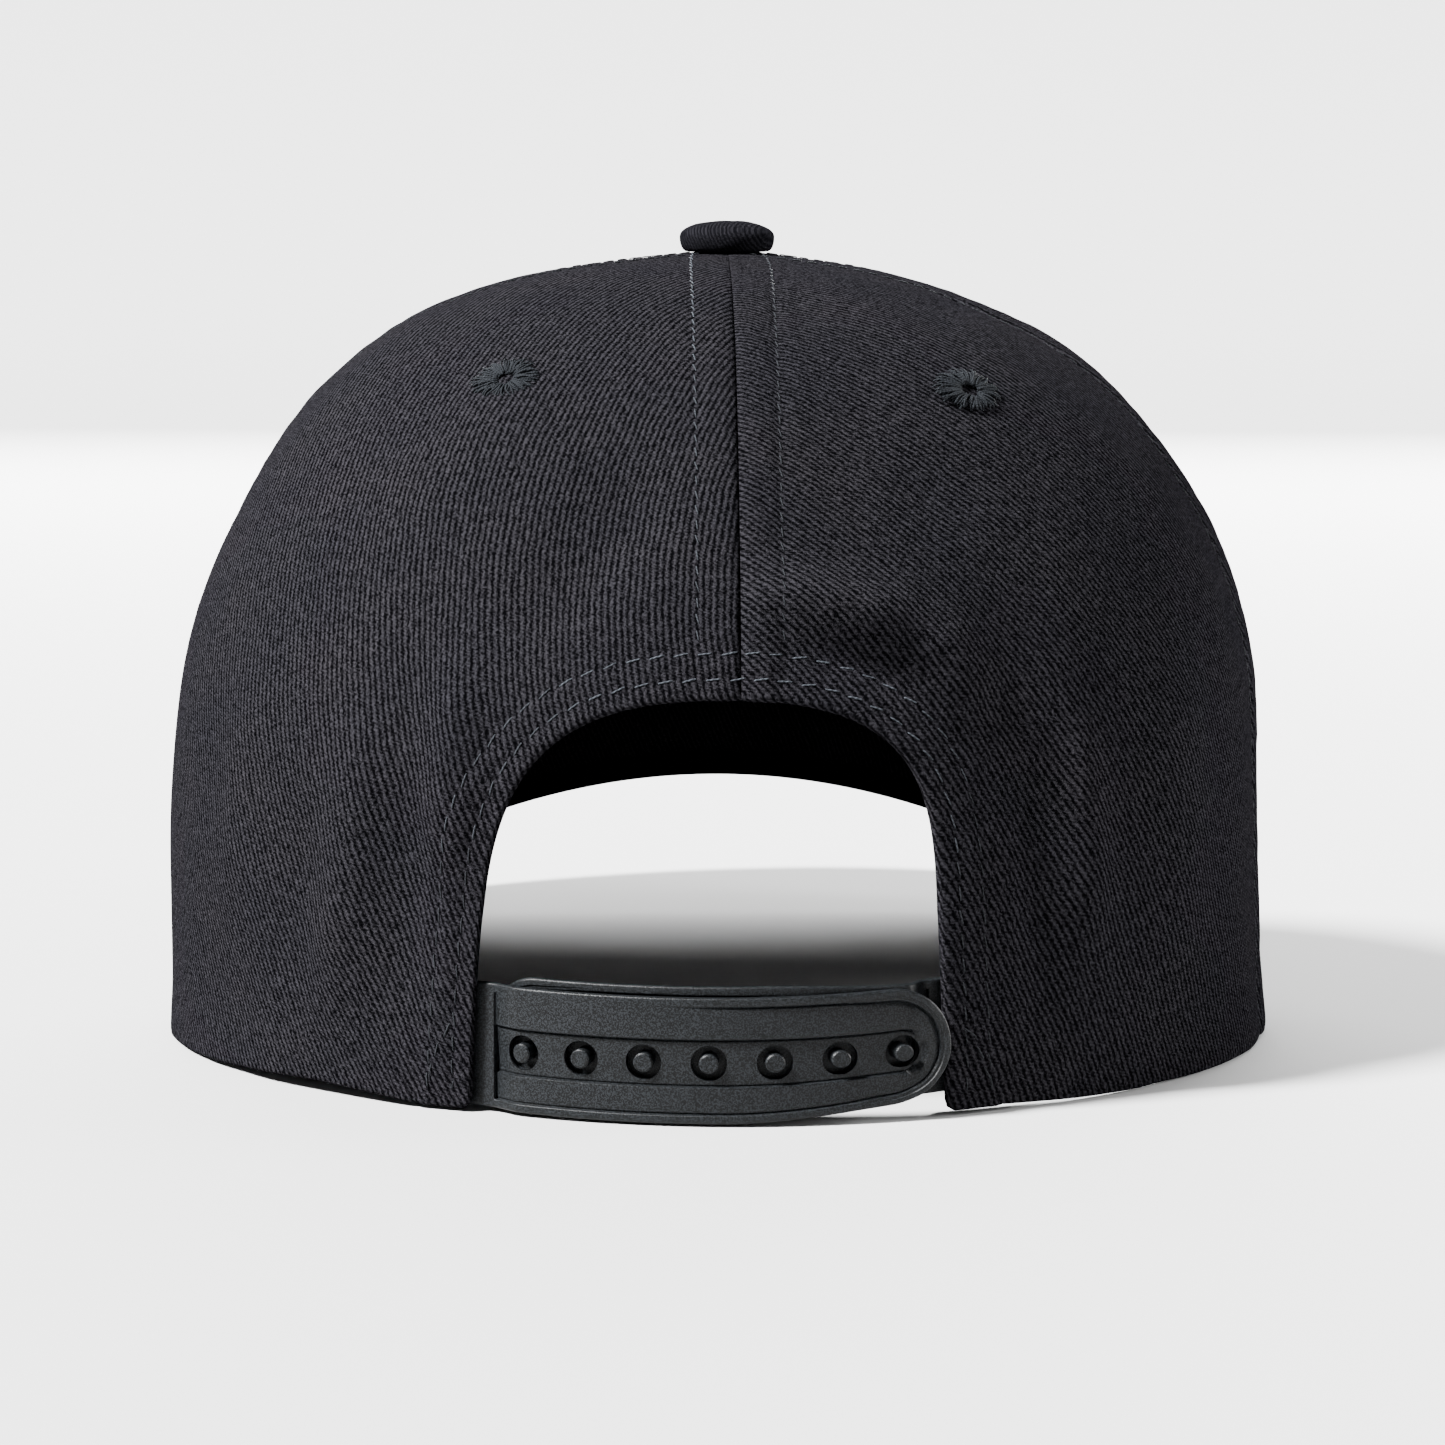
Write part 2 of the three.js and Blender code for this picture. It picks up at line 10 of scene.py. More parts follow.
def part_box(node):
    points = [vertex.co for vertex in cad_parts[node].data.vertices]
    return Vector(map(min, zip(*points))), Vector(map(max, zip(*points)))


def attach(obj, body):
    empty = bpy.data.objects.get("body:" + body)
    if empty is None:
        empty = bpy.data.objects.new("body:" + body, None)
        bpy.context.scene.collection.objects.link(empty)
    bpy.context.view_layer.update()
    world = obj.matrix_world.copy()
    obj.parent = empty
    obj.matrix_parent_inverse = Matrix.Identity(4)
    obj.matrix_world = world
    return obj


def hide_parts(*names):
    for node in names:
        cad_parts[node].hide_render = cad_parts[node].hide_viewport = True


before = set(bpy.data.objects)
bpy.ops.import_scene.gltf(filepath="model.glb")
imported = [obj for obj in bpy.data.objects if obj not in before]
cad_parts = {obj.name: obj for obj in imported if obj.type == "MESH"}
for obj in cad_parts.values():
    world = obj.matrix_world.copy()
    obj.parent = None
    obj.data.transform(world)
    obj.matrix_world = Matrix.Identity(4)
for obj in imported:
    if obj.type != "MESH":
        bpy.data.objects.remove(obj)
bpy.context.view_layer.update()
buttonLow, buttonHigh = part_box("top_button")
axisPoint = (buttonLow + buttonHigh) / 2  # the crown's axis in the frame
mm = 0.001


# Everything below is worked out in millimetres from the crown's axis and the floor, seen from the
# back of the cap: x to the right, y away from the viewer, z up.
crown = {
    "height": 123.5,
    "halfWidth": 86.9,
    "halfDepthBack": 89.5,
    "halfDepthFront": 96.0,
    "cloth": 1.6,           # thickness
    "ring": 2.2,            # radius round the button's shank
    "sideSeamLeft": 94.0,   # degrees of azimuth from the back seam
    "sideSeamRight": 82.0,
    "frontSeam": 130.0,
    "meshSize": 1.15,       # of the cloth's faces
    "ripple": 0.32,         # height of the cloth's soft waves
    "panelLength": 150.0,   # of the cloth from the hem to the button
}

# rise, width, back, front, sway
sections = np.array([
    [0, 1, 1, 1, -0.018],
    [0.16, 0.998, 1, 0.98, -0.025],
    [0.32, 0.993, 0.986, 0.953, -0.0235],
    [0.48, 0.973, 0.957, 0.917, -0.017],
    [0.62, 0.916, 0.897, 0.868, -0.014],
    [0.74, 0.825, 0.807, 0.802, -0.0155],
    [0.83, 0.716, 0.697, 0.71, -0.0195],
    [0.9, 0.584, 0.57, 0.585, -0.026],
    [0.945, 0.434, 0.43, 0.445, -0.036],
    [0.975, 0.265, 0.26, 0.28, -0.026],
    [1, 0, 0, 0, 0],
])

# azimuth, spread, height, reach, lift
folds = [
    (15, 11, 0.58, 0.07, 0.85),
    (27, 6, 0.44, 0.16, -0.75),
    (-64, 9, 0.3, 0.22, -0.4),
    (-46, 8, 0.32, 0.22, 0.45),
    (-34, 5, 0.36, 0.18, -0.5),
    (52, 9, 0.36, 0.24, 0.4),
]

hemLifts = [(-47, 14, 1.396), (25, 9, 0.605)]  # azimuth, spread, height

peak = {
    "length": 70.0,
    "halfAngle": 62.0,      # degrees from the front to a tip
    "tipReach": 2.5,
    "outlinePower": 0.9,
    "thickness": 3.4,
    "tipThickness": 1.6,
    "arch": 28.0,
    "droop": 4.0,
    "stitchRows": [5.5 + 8.2 * row for row in range(7)],  # in from the edge
    "stitchPitch": 3.0,
    "rowGroove": 0.16,
    "hemFall": 34.0,        # degrees beside a tip over which the hem comes down
    "hemGap": 0.3,
    "rootRise": 0.85,       # of the edge hidden under the crown, so that no light shows
}

opening = {
    "height": 61.0,
    "halfWidth": 33.8,
    "sway": -4.75,
    "cornerRadius": 2.2,
    "flare": 1.2,
    "powers": {-1: (2.8, 4.2), 1: (2.1, 7.0)},
}


def smoothStep(value, low, high):
    t = np.clip((np.asarray(value, float) - low) / (high - low), 0, 1)
    return t * t * (3 - 2 * t)


def sectionAt(level):  # rise, width, back, front and sway at levels from 0 at the hem to 1
    last = len(sections) - 1
    place = np.clip(level, 0, 1) * last
    row = np.minimum(np.floor(place).astype(int), last - 1)
    t = (place - row)[..., None]
    a, b, c, d = [sections[np.clip(row + k, 0, last)] for k in (-1, 0, 1, 2)]
    return b + 0.5 * t * (c - a + t * (2 * a - 5 * b + 4 * c - d + t * (3 * (b - c) + d - a)))


def crownRadius(azimuth, level):
    share = sectionAt(level)
    ring = crown["ring"]
    width = ring + (crown["halfWidth"] - ring) * share[..., 1]
    back = ring + (crown["halfDepthBack"] - ring) * share[..., 2]
    front = ring + (crown["halfDepthFront"] - ring) * share[..., 3]
    depth = np.where(np.cos(azimuth) > 0, back, front)
    return 1 / np.hypot(np.sin(azimuth) / width, np.cos(azimuth) / depth)


def peakReach(fromFront):
    share = np.cos(math.pi / 2 * np.minimum(1, fromFront / peak["halfAngle"])) ** peak["outlinePower"]
    return peak["tipReach"] + (peak["length"] - peak["tipReach"]) * share


def peakHalfWidth():
    angle = np.arange(0, peak["halfAngle"] + 1)
    radius = crownRadius(math.pi - np.radians(angle), np.zeros(len(angle))) + peakReach(angle)
    return float((radius * np.sin(np.radians(angle))).max())


peakWidest = peakHalfWidth()


def peakUnderside(x, y):
    forward = np.clip((y - crown["halfDepthFront"]) / peak["length"], 0, 1)
    arch = peak["arch"] - peak["droop"] * forward
    return np.maximum(0, arch * (1 - (x / peakWidest) ** 2))


def peakWall(fromFront):
    share = smoothStep(peak["halfAngle"] - fromFront, 0, 0.35 * peak["halfAngle"])
    return peak["tipThickness"] + (peak["thickness"] - peak["tipThickness"]) * share


def hemHeight(azimuth):
    degrees = np.degrees(azimuth)
    degrees = (degrees + 180) % 360 - 180
    fromFront = 180 - np.abs(degrees)
    overPeak = fromFront <= peak["halfAngle"]
    tip = np.sign(np.where(degrees == 0, 1, degrees)) * (180 - peak["halfAngle"])
    rim = np.radians(np.where(overPeak, degrees, tip))
    radius = crownRadius(rim, np.zeros_like(rim)) - crown["cloth"]
    x, y = radius * np.sin(rim), -radius * np.cos(rim)
    top = peakUnderside(x, y) + peakWall(np.minimum(fromFront, peak["halfAngle"])) + peak["hemGap"]
    fallen = top * smoothStep(peak["halfAngle"] + peak["hemFall"] - fromFront, 0, peak["hemFall"])
    for centre, spread, height in hemLifts:
        fallen = fallen + height * np.exp(-((degrees - centre) / spread) ** 2)
    return np.where(overPeak, top, fallen)


def crownPoint(azimuth, level):  # the cloth's outer face
    azimuth, level = np.broadcast_arrays(np.asarray(azimuth, float), np.asarray(level, float))
    share = sectionAt(level)
    rise = share[..., 0]
    degrees = (np.degrees(azimuth) + 180) % 360 - 180
    radius = crownRadius(azimuth, level)
    for centre, spread, height, reach, lift in folds:
        bump = np.exp(-((degrees - centre) / spread) ** 2 - ((rise - height) / reach) ** 2)
        radius = radius + lift * crown["cloth"] * bump
    sway = crown["halfWidth"] * share[..., 4] * np.sin(azimuth) ** 2
    z = crown["height"] * rise + hemHeight(azimuth) * (1 - rise) ** 3
    return np.stack([sway + radius * np.sin(azimuth), -radius * np.cos(azimuth), z], -1)


def unit(vectors):
    return vectors / np.maximum(np.linalg.norm(vectors, axis=-1, keepdims=True), 1e-12)


def crownSlopes(azimuth, level):  # how the point moves with azimuth and with level
    azimuth, level = np.broadcast_arrays(np.asarray(azimuth, float), np.asarray(level, float))
    step = 1e-3
    low, high = np.maximum(level - step, 0), np.minimum(level + step, 1)
    along = (crownPoint(azimuth + step, level) - crownPoint(azimuth - step, level)) / (2 * step)
    up = (crownPoint(azimuth, high) - crownPoint(azimuth, low)) / (high - low)[..., None]
    return along, up


def crownNormal(azimuth, level):
    along, up = crownSlopes(azimuth, np.minimum(level, 0.995))
    return unit(np.cross(along, up))


def halve(low, high, tooLow):  # narrows a span down to where tooLow turns false
    for _ in range(30):
        middle = (low + high) / 2
        below = tooLow(middle)
        low, high = np.where(below, middle, low), np.where(below, high, middle)
    return (low + high) / 2


def levelAtHeight(azimuth, z):
    return halve(np.zeros_like(z), np.ones_like(z), lambda level: crownPoint(azimuth, level)[..., 2] < z)


def placeOnCrown(x, z):  # azimuth and level of the points of the back that lie at x and z
    azimuth = np.arcsin(np.clip(x / 85, -1, 1))  # a first guess
    for _ in range(4):
        level = levelAtHeight(azimuth, z)
        azimuth = halve(0 * x - 1.5, 0 * x + 1.5, lambda turn: crownPoint(turn, level)[..., 0] < x)
    return azimuth, levelAtHeight(azimuth, z)


def openingEdge(side, height):
    half = opening["halfWidth"] + side * opening["sway"]
    widthPower, heightPower = opening["powers"][side]
    share = np.clip(height / opening["height"], 0, 1)
    flare = opening["flare"] * np.clip(1 - 2 * height / opening["height"], 0, 1)
    return half * (1 - share ** heightPower) ** (1 / widthPower) + flare


def openingOutline(side):  # x and z from the hem up to the back seam, with the rounded foot
    radius = opening["cornerRadius"]
    foot = float(openingEdge(side, radius)) + radius
    turn = np.linspace(0, math.pi / 2, 12)
    corner = np.stack([foot - radius * np.sin(turn), radius - radius * np.cos(turn)], 1)
    height = opening["height"] * np.sin(np.linspace(0.06, math.pi / 2, 160))
    height = height[height > 1.02 * radius]
    upright = np.stack([openingEdge(side, height), height], 1)
    outline = np.vstack([corner, upright])
    outline[:, 0] *= side
    return outline


def lengths(points):  # from the start of a polyline to each of its points
    return np.concatenate([[0], np.cumsum(np.linalg.norm(np.diff(points, axis=0), axis=1))])


def rowsAt(at, length, rows):
    return np.stack([np.interp(at, length, column) for column in rows.T], 1)


def resample(points, size, extra=None):  # even steps along a polyline, with extra values carried along
    length = lengths(points)
    count = max(2, int(round(length[-1] / size)))
    return rowsAt(np.linspace(0, length[-1], count + 1), length, points if extra is None else extra)


print("Shapes are set up")


def toFrame(points):
    return np.asarray(points, float) * mm + np.array([axisPoint.x, axisPoint.y, 0])


def newObject(name, data):
    made = bpy.data.objects.new(name, data)
    bpy.context.scene.collection.objects.link(made)
    return made


def makeObject(name, points, faces, uvs, material, slot):
    mesh = bpy.data.meshes.new(name)
    mesh.from_pydata(toFrame(points).tolist(), [], faces)
    layer = mesh.uv_layers.new(name="weave")
    index = np.zeros(len(mesh.loops), int)
    mesh.loops.foreach_get("vertex_index", index)
    layer.data.foreach_set("uv", np.asarray(uvs, float)[index].ravel())
    mesh.polygons.foreach_set("use_smooth", [True] * len(mesh.polygons))
    mesh.update()
    mesh.materials.append(material)
    piece = newObject(name, mesh)
    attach(piece, "root")
    return piece


def weld(piece, distance, outward=False):  # joins points that lie on one another
    mesh = bmesh.new()
    mesh.from_mesh(piece.data)
    bmesh.ops.remove_doubles(mesh, verts=mesh.verts, dist=distance)
    if outward:
        bmesh.ops.recalc_face_normals(mesh, faces=mesh.faces)
    mesh.to_mesh(piece.data)
    mesh.free()


def gridFaces(columns, rows, start=0, flip=False):  # faces of a grid of (rows + 1) x (columns + 1) points
    c, r = np.meshgrid(np.arange(columns), np.arange(rows))
    a = (start + r * (columns + 1) + c).ravel()
    quads = np.stack([a, a + 1, a + columns + 2, a + columns + 1], 1)
    return (quads[:, ::-1] if flip else quads).tolist()


def addTube(made, centre, across, out, us, sides):  # a closed tube round the line centre
    points, faces, uvs = made
    start = len(points)
    for place, wide, high, u in zip(centre, across, out, us):
        for turn in np.linspace(0, 2 * math.pi, sides, endpoint=False):
            points.append(place + wide * math.cos(turn) + high * math.sin(turn))
            uvs.append((u, turn / (2 * math.pi)))
    for ring in range(len(centre) - 1):
        for s in range(sides):
            a, b = start + ring * sides + s, start + ring * sides + (s + 1) % sides
            faces.append([a, b, b + sides, a + sides])
    faces.append([start + s for s in range(sides)][::-1])
    faces.append([len(points) - sides + s for s in range(sides)])


# Materials. Each is a small graph of maths on the weave's own coordinates, in millimetres.
class Graph:
    def __init__(self, name):
        self.material = bpy.data.materials.new(name)
        self.material.use_nodes = True
        self.tree = self.material.node_tree
        self.shader = self.tree.nodes["Principled BSDF"]

    def node(self, kind, **settings):
        made = self.tree.nodes.new(kind)
        for key, value in settings.items():
            setattr(made, key, value)
        return made

    def link(self, value, socket):
        if isinstance(value, bpy.types.NodeSocket):
            self.tree.links.new(value, socket)
        else:
            socket.default_value = value

    def maths(self, operation, a, b=0.0, c=0.0):
        made = self.node("ShaderNodeMath", operation=operation)
        for value, socket in zip((a, b, c), made.inputs):
            self.link(value, socket)
        return made.outputs[0]

    def times(self, a, b, plus=0.0):
        return self.maths("MULTIPLY_ADD", a, b, plus)

    def remap(self, value, low, high, newLow, newHigh):
        made = self.node("ShaderNodeMapRange", interpolation_type="SMOOTHSTEP")
        for item, socket in zip((value, low, high, newLow, newHigh), made.inputs):
            self.link(item, socket)
        return made.outputs[0]

    def noise(self, vector, scale, detail=2.0, roughness=0.5):
        made = self.node("ShaderNodeTexNoise")
        self.link(vector, made.inputs["Vector"])
        made.inputs["Scale"].default_value = scale
        made.inputs["Detail"].default_value = detail
        made.inputs["Roughness"].default_value = roughness
        return made.outputs[0]

    def mix(self, share, a, b):
        made = self.node("ShaderNodeMix", data_type="RGBA")
        self.link(share, made.inputs[0])
        self.link(a, made.inputs[6])
        self.link(b, made.inputs[7])
        return made.outputs[2]

    def wave(self, turns):  # from 0 to 1 and back in each turn
        swing = self.maths("COSINE", self.times(turns, 2 * math.pi))
        return self.times(swing, 0.5, 0.5)

    def weaveUv(self):
        uv = self.node("ShaderNodeUVMap", uv_map="weave").outputs[0]
        parts = self.node("ShaderNodeSeparateXYZ")
        self.link(uv, parts.inputs[0])
        return uv, parts.outputs[0], parts.outputs[1]

    def place(self):
        return self.node("ShaderNodeTexCoord").outputs["Object"]

    def finish(self, colour, roughness, specular, height=None, distance=0.0, strength=1.0):
        self.link(colour, self.shader.inputs["Base Color"])
        self.shader.inputs["Roughness"].default_value = roughness
        self.shader.inputs["Specular IOR Level"].default_value = specular
        if height:
            made = self.node("ShaderNodeBump")
            made.inputs["Strength"].default_value = strength
            made.inputs["Distance"].default_value = distance * mm
            self.link(height, made.inputs["Height"])
            self.link(made.outputs[0], self.shader.inputs["Normal"])
        return self.material


twill = {
    "warpAngle": 24.0,      # of the diagonal lines from the warp, in degrees
    "walePitch": 0.87,      # between the diagonal lines
    "yarnPitch": 0.55,
    "groove": (0.0007, 0.0007, 0.0009, 1),
    "ridge": (0.017, 0.0168, 0.0206, 1),
    "warmRidge": (0.017, 0.0157, 0.0174, 1),
    "lint": (0.05, 0.051, 0.057, 1),
    "relief": 0.2,
    "drift": 0.9,           # how far the lines wander, in lines
    "shake": 0.55,
    "slant": 1.35,          # of the floats across a line
    "grain": 2.4,
    "lumps": 0.7,
    "contrast": (0.04, 1.14),  # heights at which the groove's and the ridge's colours are full
}
buttonTwill = {  # what differs on the button
    "groove": (0.0022, 0.0022, 0.0028, 1),
    "ridge": (0.01, 0.0099, 0.0123, 1),
    "warmRidge": (0.01, 0.0093, 0.0107, 1),
    "walePitch": 0.62,
}


def twillMaterial(name, settings):
    g = Graph(name)
    uv, u, v = g.weaveUv()
    drift = g.maths("SUBTRACT", g.noise(uv, 0.11, 2.0), 0.5)
    shake = g.maths("SUBTRACT", g.noise(uv, 0.9, 2.0), 0.5)
    angle = math.radians(settings["warpAngle"])
    pitch, yarnPitch = settings["walePitch"], settings["yarnPitch"]
    across = g.maths("ADD", g.times(u, math.cos(angle) / pitch),
                     g.times(v, math.sin(angle) / pitch))
    across = g.times(drift, settings["drift"], across)
    across = g.times(shake, settings["shake"], across)
    along = g.maths("SUBTRACT", g.times(v, math.cos(angle) / yarnPitch),
                    g.times(u, math.sin(angle) / yarnPitch))
    along = g.times(shake, 0.9, along)
    wale = g.maths("POWER", g.maths("MAXIMUM", g.wave(across), 0.0), 0.8)
    yarn = g.wave(g.times(across, settings["slant"], along))
    place = g.node("ShaderNodeCombineXYZ")
    g.link(across, place.inputs[0])
    g.link(g.times(along, 0.45), place.inputs[1])
    grain = g.maths("SUBTRACT", g.noise(place.outputs[0], 2.7, 3.0, 0.7), 0.5)
    lumps = g.maths("SUBTRACT", g.noise(place.outputs[0], 0.8, 2.0), 0.5)
    patches = g.noise(uv, 0.06, 3.0, 0.6)
    height = g.times(yarn, 0.22, g.times(wale, 0.6))
    height = g.times(grain, settings["grain"], height)
    height = g.times(lumps, settings["lumps"], height)
    shade = g.remap(height, *settings["contrast"], 0.0, 1.0)
    shade = g.times(shade, g.times(patches, 0.5, 0.75))
    ridge = g.mix(patches, settings["ridge"], settings["warmRidge"])
    colour = g.mix(g.maths("MINIMUM", shade, 1.0), settings["groove"], ridge)
    lint = g.remap(g.noise(uv, 2.1, 4.0, 0.75), 0.68, 0.8, 0.0, 0.4)
    colour = g.mix(g.times(lint, shade), colour, settings["lint"])
    return g.finish(colour, 0.95, 0.0, height, settings["relief"], 0.8)


threadLook = {  # dark, light and the pitch of the twist; the first three are one thread in painted lit, half-lit and shaded tones
    "paintedLitThread": ((0.004, 0.005, 0.006, 1), (0.036, 0.04, 0.047, 1), 0.7),
    "paintedHalfLitThread": ((0.003, 0.0035, 0.0045, 1), (0.025, 0.0275, 0.032, 1), 0.7),
    "paintedShadedThread": ((0.0015, 0.0017, 0.002, 1), (0.014, 0.015, 0.0175, 1), 0.7),
    "eyeletThread": ((0.0004, 0.0005, 0.0007, 1), (0.0098, 0.0113, 0.0136, 1), 0.5),
}


def threadMaterial(name, dark, light, pitch):  # twisted yarn, u runs along it
    g = Graph(name)
    uv, u, v = g.weaveUv()
    ply = g.wave(g.maths("ADD", g.times(u, 1 / pitch), v))
    hair = g.noise(uv, 3.0, 3.0, 0.7)
    shade = g.times(g.times(ply, 0.6, 0.4), g.times(hair, 1.4, 0.2))
    colour = g.mix(g.maths("MINIMUM", shade, 1.0), dark, light)
    return g.finish(colour, 0.75, 0.06, g.times(hair, 0.4, ply), 0.08, 0.7)


strapLook = {
    "dark": (0.0008, 0.001, 0.0011, 1),
    "light": (0.0078, 0.0089, 0.0102, 1),
    "grain": 0.1,
    "fine": 4300,           # how fine the grain is, per metre
    "clouds": 160,
    "contrast": 8.0,
    "roughness": 0.45,
    "specular": 0.12,
}


def plasticMaterial(name, settings):
    g = Graph(name)
    fine = g.noise(g.place(), settings["fine"], 1.0, 0.6)
    cloud = g.noise(g.place(), settings["clouds"], 3.0, 0.6)
    share = g.times(fine, settings["contrast"], g.times(cloud, 0.4, -3.85))
    colour = g.mix(g.remap(share, 0.0, 1.0, 0.0, 1.0), settings["dark"], settings["light"])
    return g.finish(colour, settings["roughness"], settings["specular"], fine, settings["grain"], 0.6)


# The eyelet's hole: a near-black cup, painted shade in place of the shadow inside the hole.
paintedShadeCupLook = ((0.0003, 0.0003, 0.0004, 1), (0.0014, 0.0014, 0.0018, 1), 900, 1.0, 0.0)


def plainMaterial(name, dark, light, scale, roughness, specular):  # faintly clouded
    g = Graph(name)
    return g.finish(g.mix(g.noise(g.place(), scale, 2.0), dark, light), roughness, specular)


twillCloth = twillMaterial("twill", twill)
buttonCloth = twillMaterial("buttonTwill", dict(twill, **buttonTwill))
# Lit, half-lit and shaded copies of one thread: painted light and shade on the stitches.
paintedLitThread, paintedHalfLitThread, paintedShadedThread, eyeletThread = [
    threadMaterial(name, *look) for name, look in threadLook.items()]
paintedShadeCupCloth = plainMaterial("eyeletPaintedShade", *paintedShadeCupLook)
strapPlastic = plasticMaterial("strapPlastic", strapLook)
print("Materials are made")


# Seams and edges, as lines on the crown, so that the cloth can be shaped by its distance from them.
def treeOf(points):
    tree = KDTree(len(points))
    for index, point in enumerate(points):
        tree.insert(point, index)
    tree.balance()
    return tree


def distanceTo(tree, points):
    flat = points.reshape(-1, 3)
    return np.array([tree.find(point)[2] for point in flat]).reshape(points.shape[:-1])


openingPlaces = {}
for side in (-1, 1):
    azimuth, level = placeOnCrown(*openingOutline(side).T)
    level[0] = 0
    azimuth[-1] = 0
    openingPlaces[side] = np.stack([azimuth, level], 1)
openingTop = float(openingPlaces[1][-1, 1])

seamAngles = {
    "back": 0.0,
    "right": crown["sideSeamRight"],
    "frontRight": crown["frontSeam"],
    "frontLeft": -crown["frontSeam"],
    "left": -crown["sideSeamLeft"],
}
seamTree = treeOf(np.vstack([
    crownPoint(math.radians(degrees), np.linspace(openingTop if name == "back" else 0, 0.995, 400))
    for name, degrees in seamAngles.items()]))
openingLine = np.vstack([crownPoint(*openingPlaces[-1].T), crownPoint(*openingPlaces[1][::-1].T)])
openingTree = treeOf(resample(openingLine, 0.25))

stitching = {
    "seamRows": (-6.3, 6.2),    # either side of a seam
    "seamPitch": 2.45,
    "backStart": 0.045,         # level over the opening where the back seam's rows start
    "openingRows": (3.0, 6.9),  # in from the opening's edge
    "openingPitch": 3.5,
    "length": 0.76,             # of the stitch, as a share of the pitch
    "radius": 0.12,
    "seamPaintedLit": 108.0,        # height over which the back seam's left row is painted lit
    "archPaintedLit": (-26, 25, 55),  # left, right and height of where the arch's rows are painted lit
    "archPaintedHalfLit": (33, 38),        # right and height of where they are painted half lit
}


# Soft creases seen from the back: from x, z to x, z in millimetres, then width and lift.
creases = [
    (3, 76.8, 25, 71.8, 4.0, 3.2),
    (27, 71, 36, 60, 4.4, 1.7),
    (8, 67, 27, 64.5, 3.0, -0.9),
    (-41, 64, -43, 36, 3.8, 2.3),
    (-55, 54, -60, 16, 4.4, 2.0),
    (-72, 60, -77, 22, 4.6, 1.2),
    (-48, 44, -49, 14, 3.4, -1.1),
    (-65, 42, -66, 12, 3.8, -1.1),
    (50, 54, 52, 24, 3.2, 2.0),
    (43, 50, 44, 14, 3.4, -1.3),
    (64, 62, 68, 16, 5.0, 1.2),
    (-12, 94, -34, 68, 7.0, -1.7),
    (12, 100, 34, 88, 6.0, -1.0),
    (-30, 104, -52, 82, 7.0, 1.4),
]


def creaseLift(points):
    x, z = points[..., 0], points[..., 2]
    lift = np.zeros_like(x)
    for x0, z0, x1, z1, width, height in creases:
        run = np.array([x1 - x0, z1 - z0])
        share = np.clip(((x - x0) * run[0] + (z - z0) * run[1]) / (run @ run), -0.25, 1.25)
        away = np.hypot(x - x0 - share * run[0], z - z0 - share * run[1])
        ends = smoothStep(share, -0.25, 0.3) * (1 - smoothStep(share, 0.7, 1.25))
        lift += height * ends * np.exp(-(away / width) ** 2)
    return lift * (points[..., 1] < 0)


relief = {
    "seamGroove": 0.32,
    "seamSwell": 0.22,      # on both sides of a seam
    "rowGroove": 0.22,      # under a row of stitches
    "allowance": (0.3, -0.06),  # at the back the seams' allowances lie under the right side
    "openingHem": 0.25,     # the turned edge of the opening
    "openingRowGroove": 0.25,
    "turned": (-0.7, 0.25),  # the opening's left and right edge, low down
    "pucker": 0.15,
    "sunken": 0.6,          # of the upper crown
    "lowEdge": 0.45,        # of the hem's outer corners
}


def clothLift(points):  # small relief of the cloth in millimetres
    seam = distanceTo(seamTree, points)
    edge = distanceTo(openingTree, points)
    x, y, z = points[..., 0], points[..., 1], points[..., 2]
    lift = np.zeros(points.shape[:-1])
    lift -= relief["seamGroove"] * np.exp(-(seam / 0.45) ** 2)
    lift += relief["seamSwell"] * np.exp(-((seam - 2.6) / 2.0) ** 2)
    lift -= relief["rowGroove"] * np.exp(-((seam - 6.25) / 0.7) ** 2)
    lift += np.where((y < 0) & (x > 0), *relief["allowance"]) * (1 - smoothStep(seam, 4.8, 6.2))
    lift += relief["openingHem"] * (1 - smoothStep(edge, 5.5, 8))
    for row in stitching["openingRows"]:
        lift -= relief["openingRowGroove"] * np.exp(-((edge - row) / 0.55) ** 2)
    lift += np.where(x < 0, *relief["turned"]) * (1 - smoothStep(z, 30, 52)) * (1 - smoothStep(edge, 0, 9))
    soft = np.array([(
        noise.noise(Vector(p) * 0.035 + Vector((3, 7, 1))),
        noise.noise(Vector((p[0], p[1], p[2] * 0.5)) * 0.085),
        noise.noise(Vector(p) * 0.34 + Vector((9, 2, 5))),
    ) for p in points.reshape(-1, 3)])
    wave, crease, pucker = soft.T.reshape(3, *lift.shape)
    lift += crown["ripple"] * (1.6 * wave + 0.9 * crease)
    lift += relief["pucker"] * pucker * (1 - smoothStep(np.minimum(seam, edge), 7, 14))
    fromTop = 1 - smoothStep(z, crown["height"] - 9, crown["height"] - 1)
    lift = lift * (0.15 + 0.85 * fromTop) + creaseLift(points)
    lift -= relief["sunken"] * smoothStep(z, 50, 92) * (1 - 0.75 * smoothStep(z, 111, 122))
    lift += relief["lowEdge"] * (1 - smoothStep(z, 0, 10)) * smoothStep(np.abs(x), 55, 75)
    return lift


# How far the twill's lines lean from the warp at levels of the crown, in degrees, as the cloth is
# eased, and how much wider they are spaced.
twillLeans = {
    "back_panel_left": ((0, 0.5, 1), (33, 9, 9), 1.12),
    "back_panel_right": ((0, 0.5, 1), (23, 38, 30), 1.2),
}


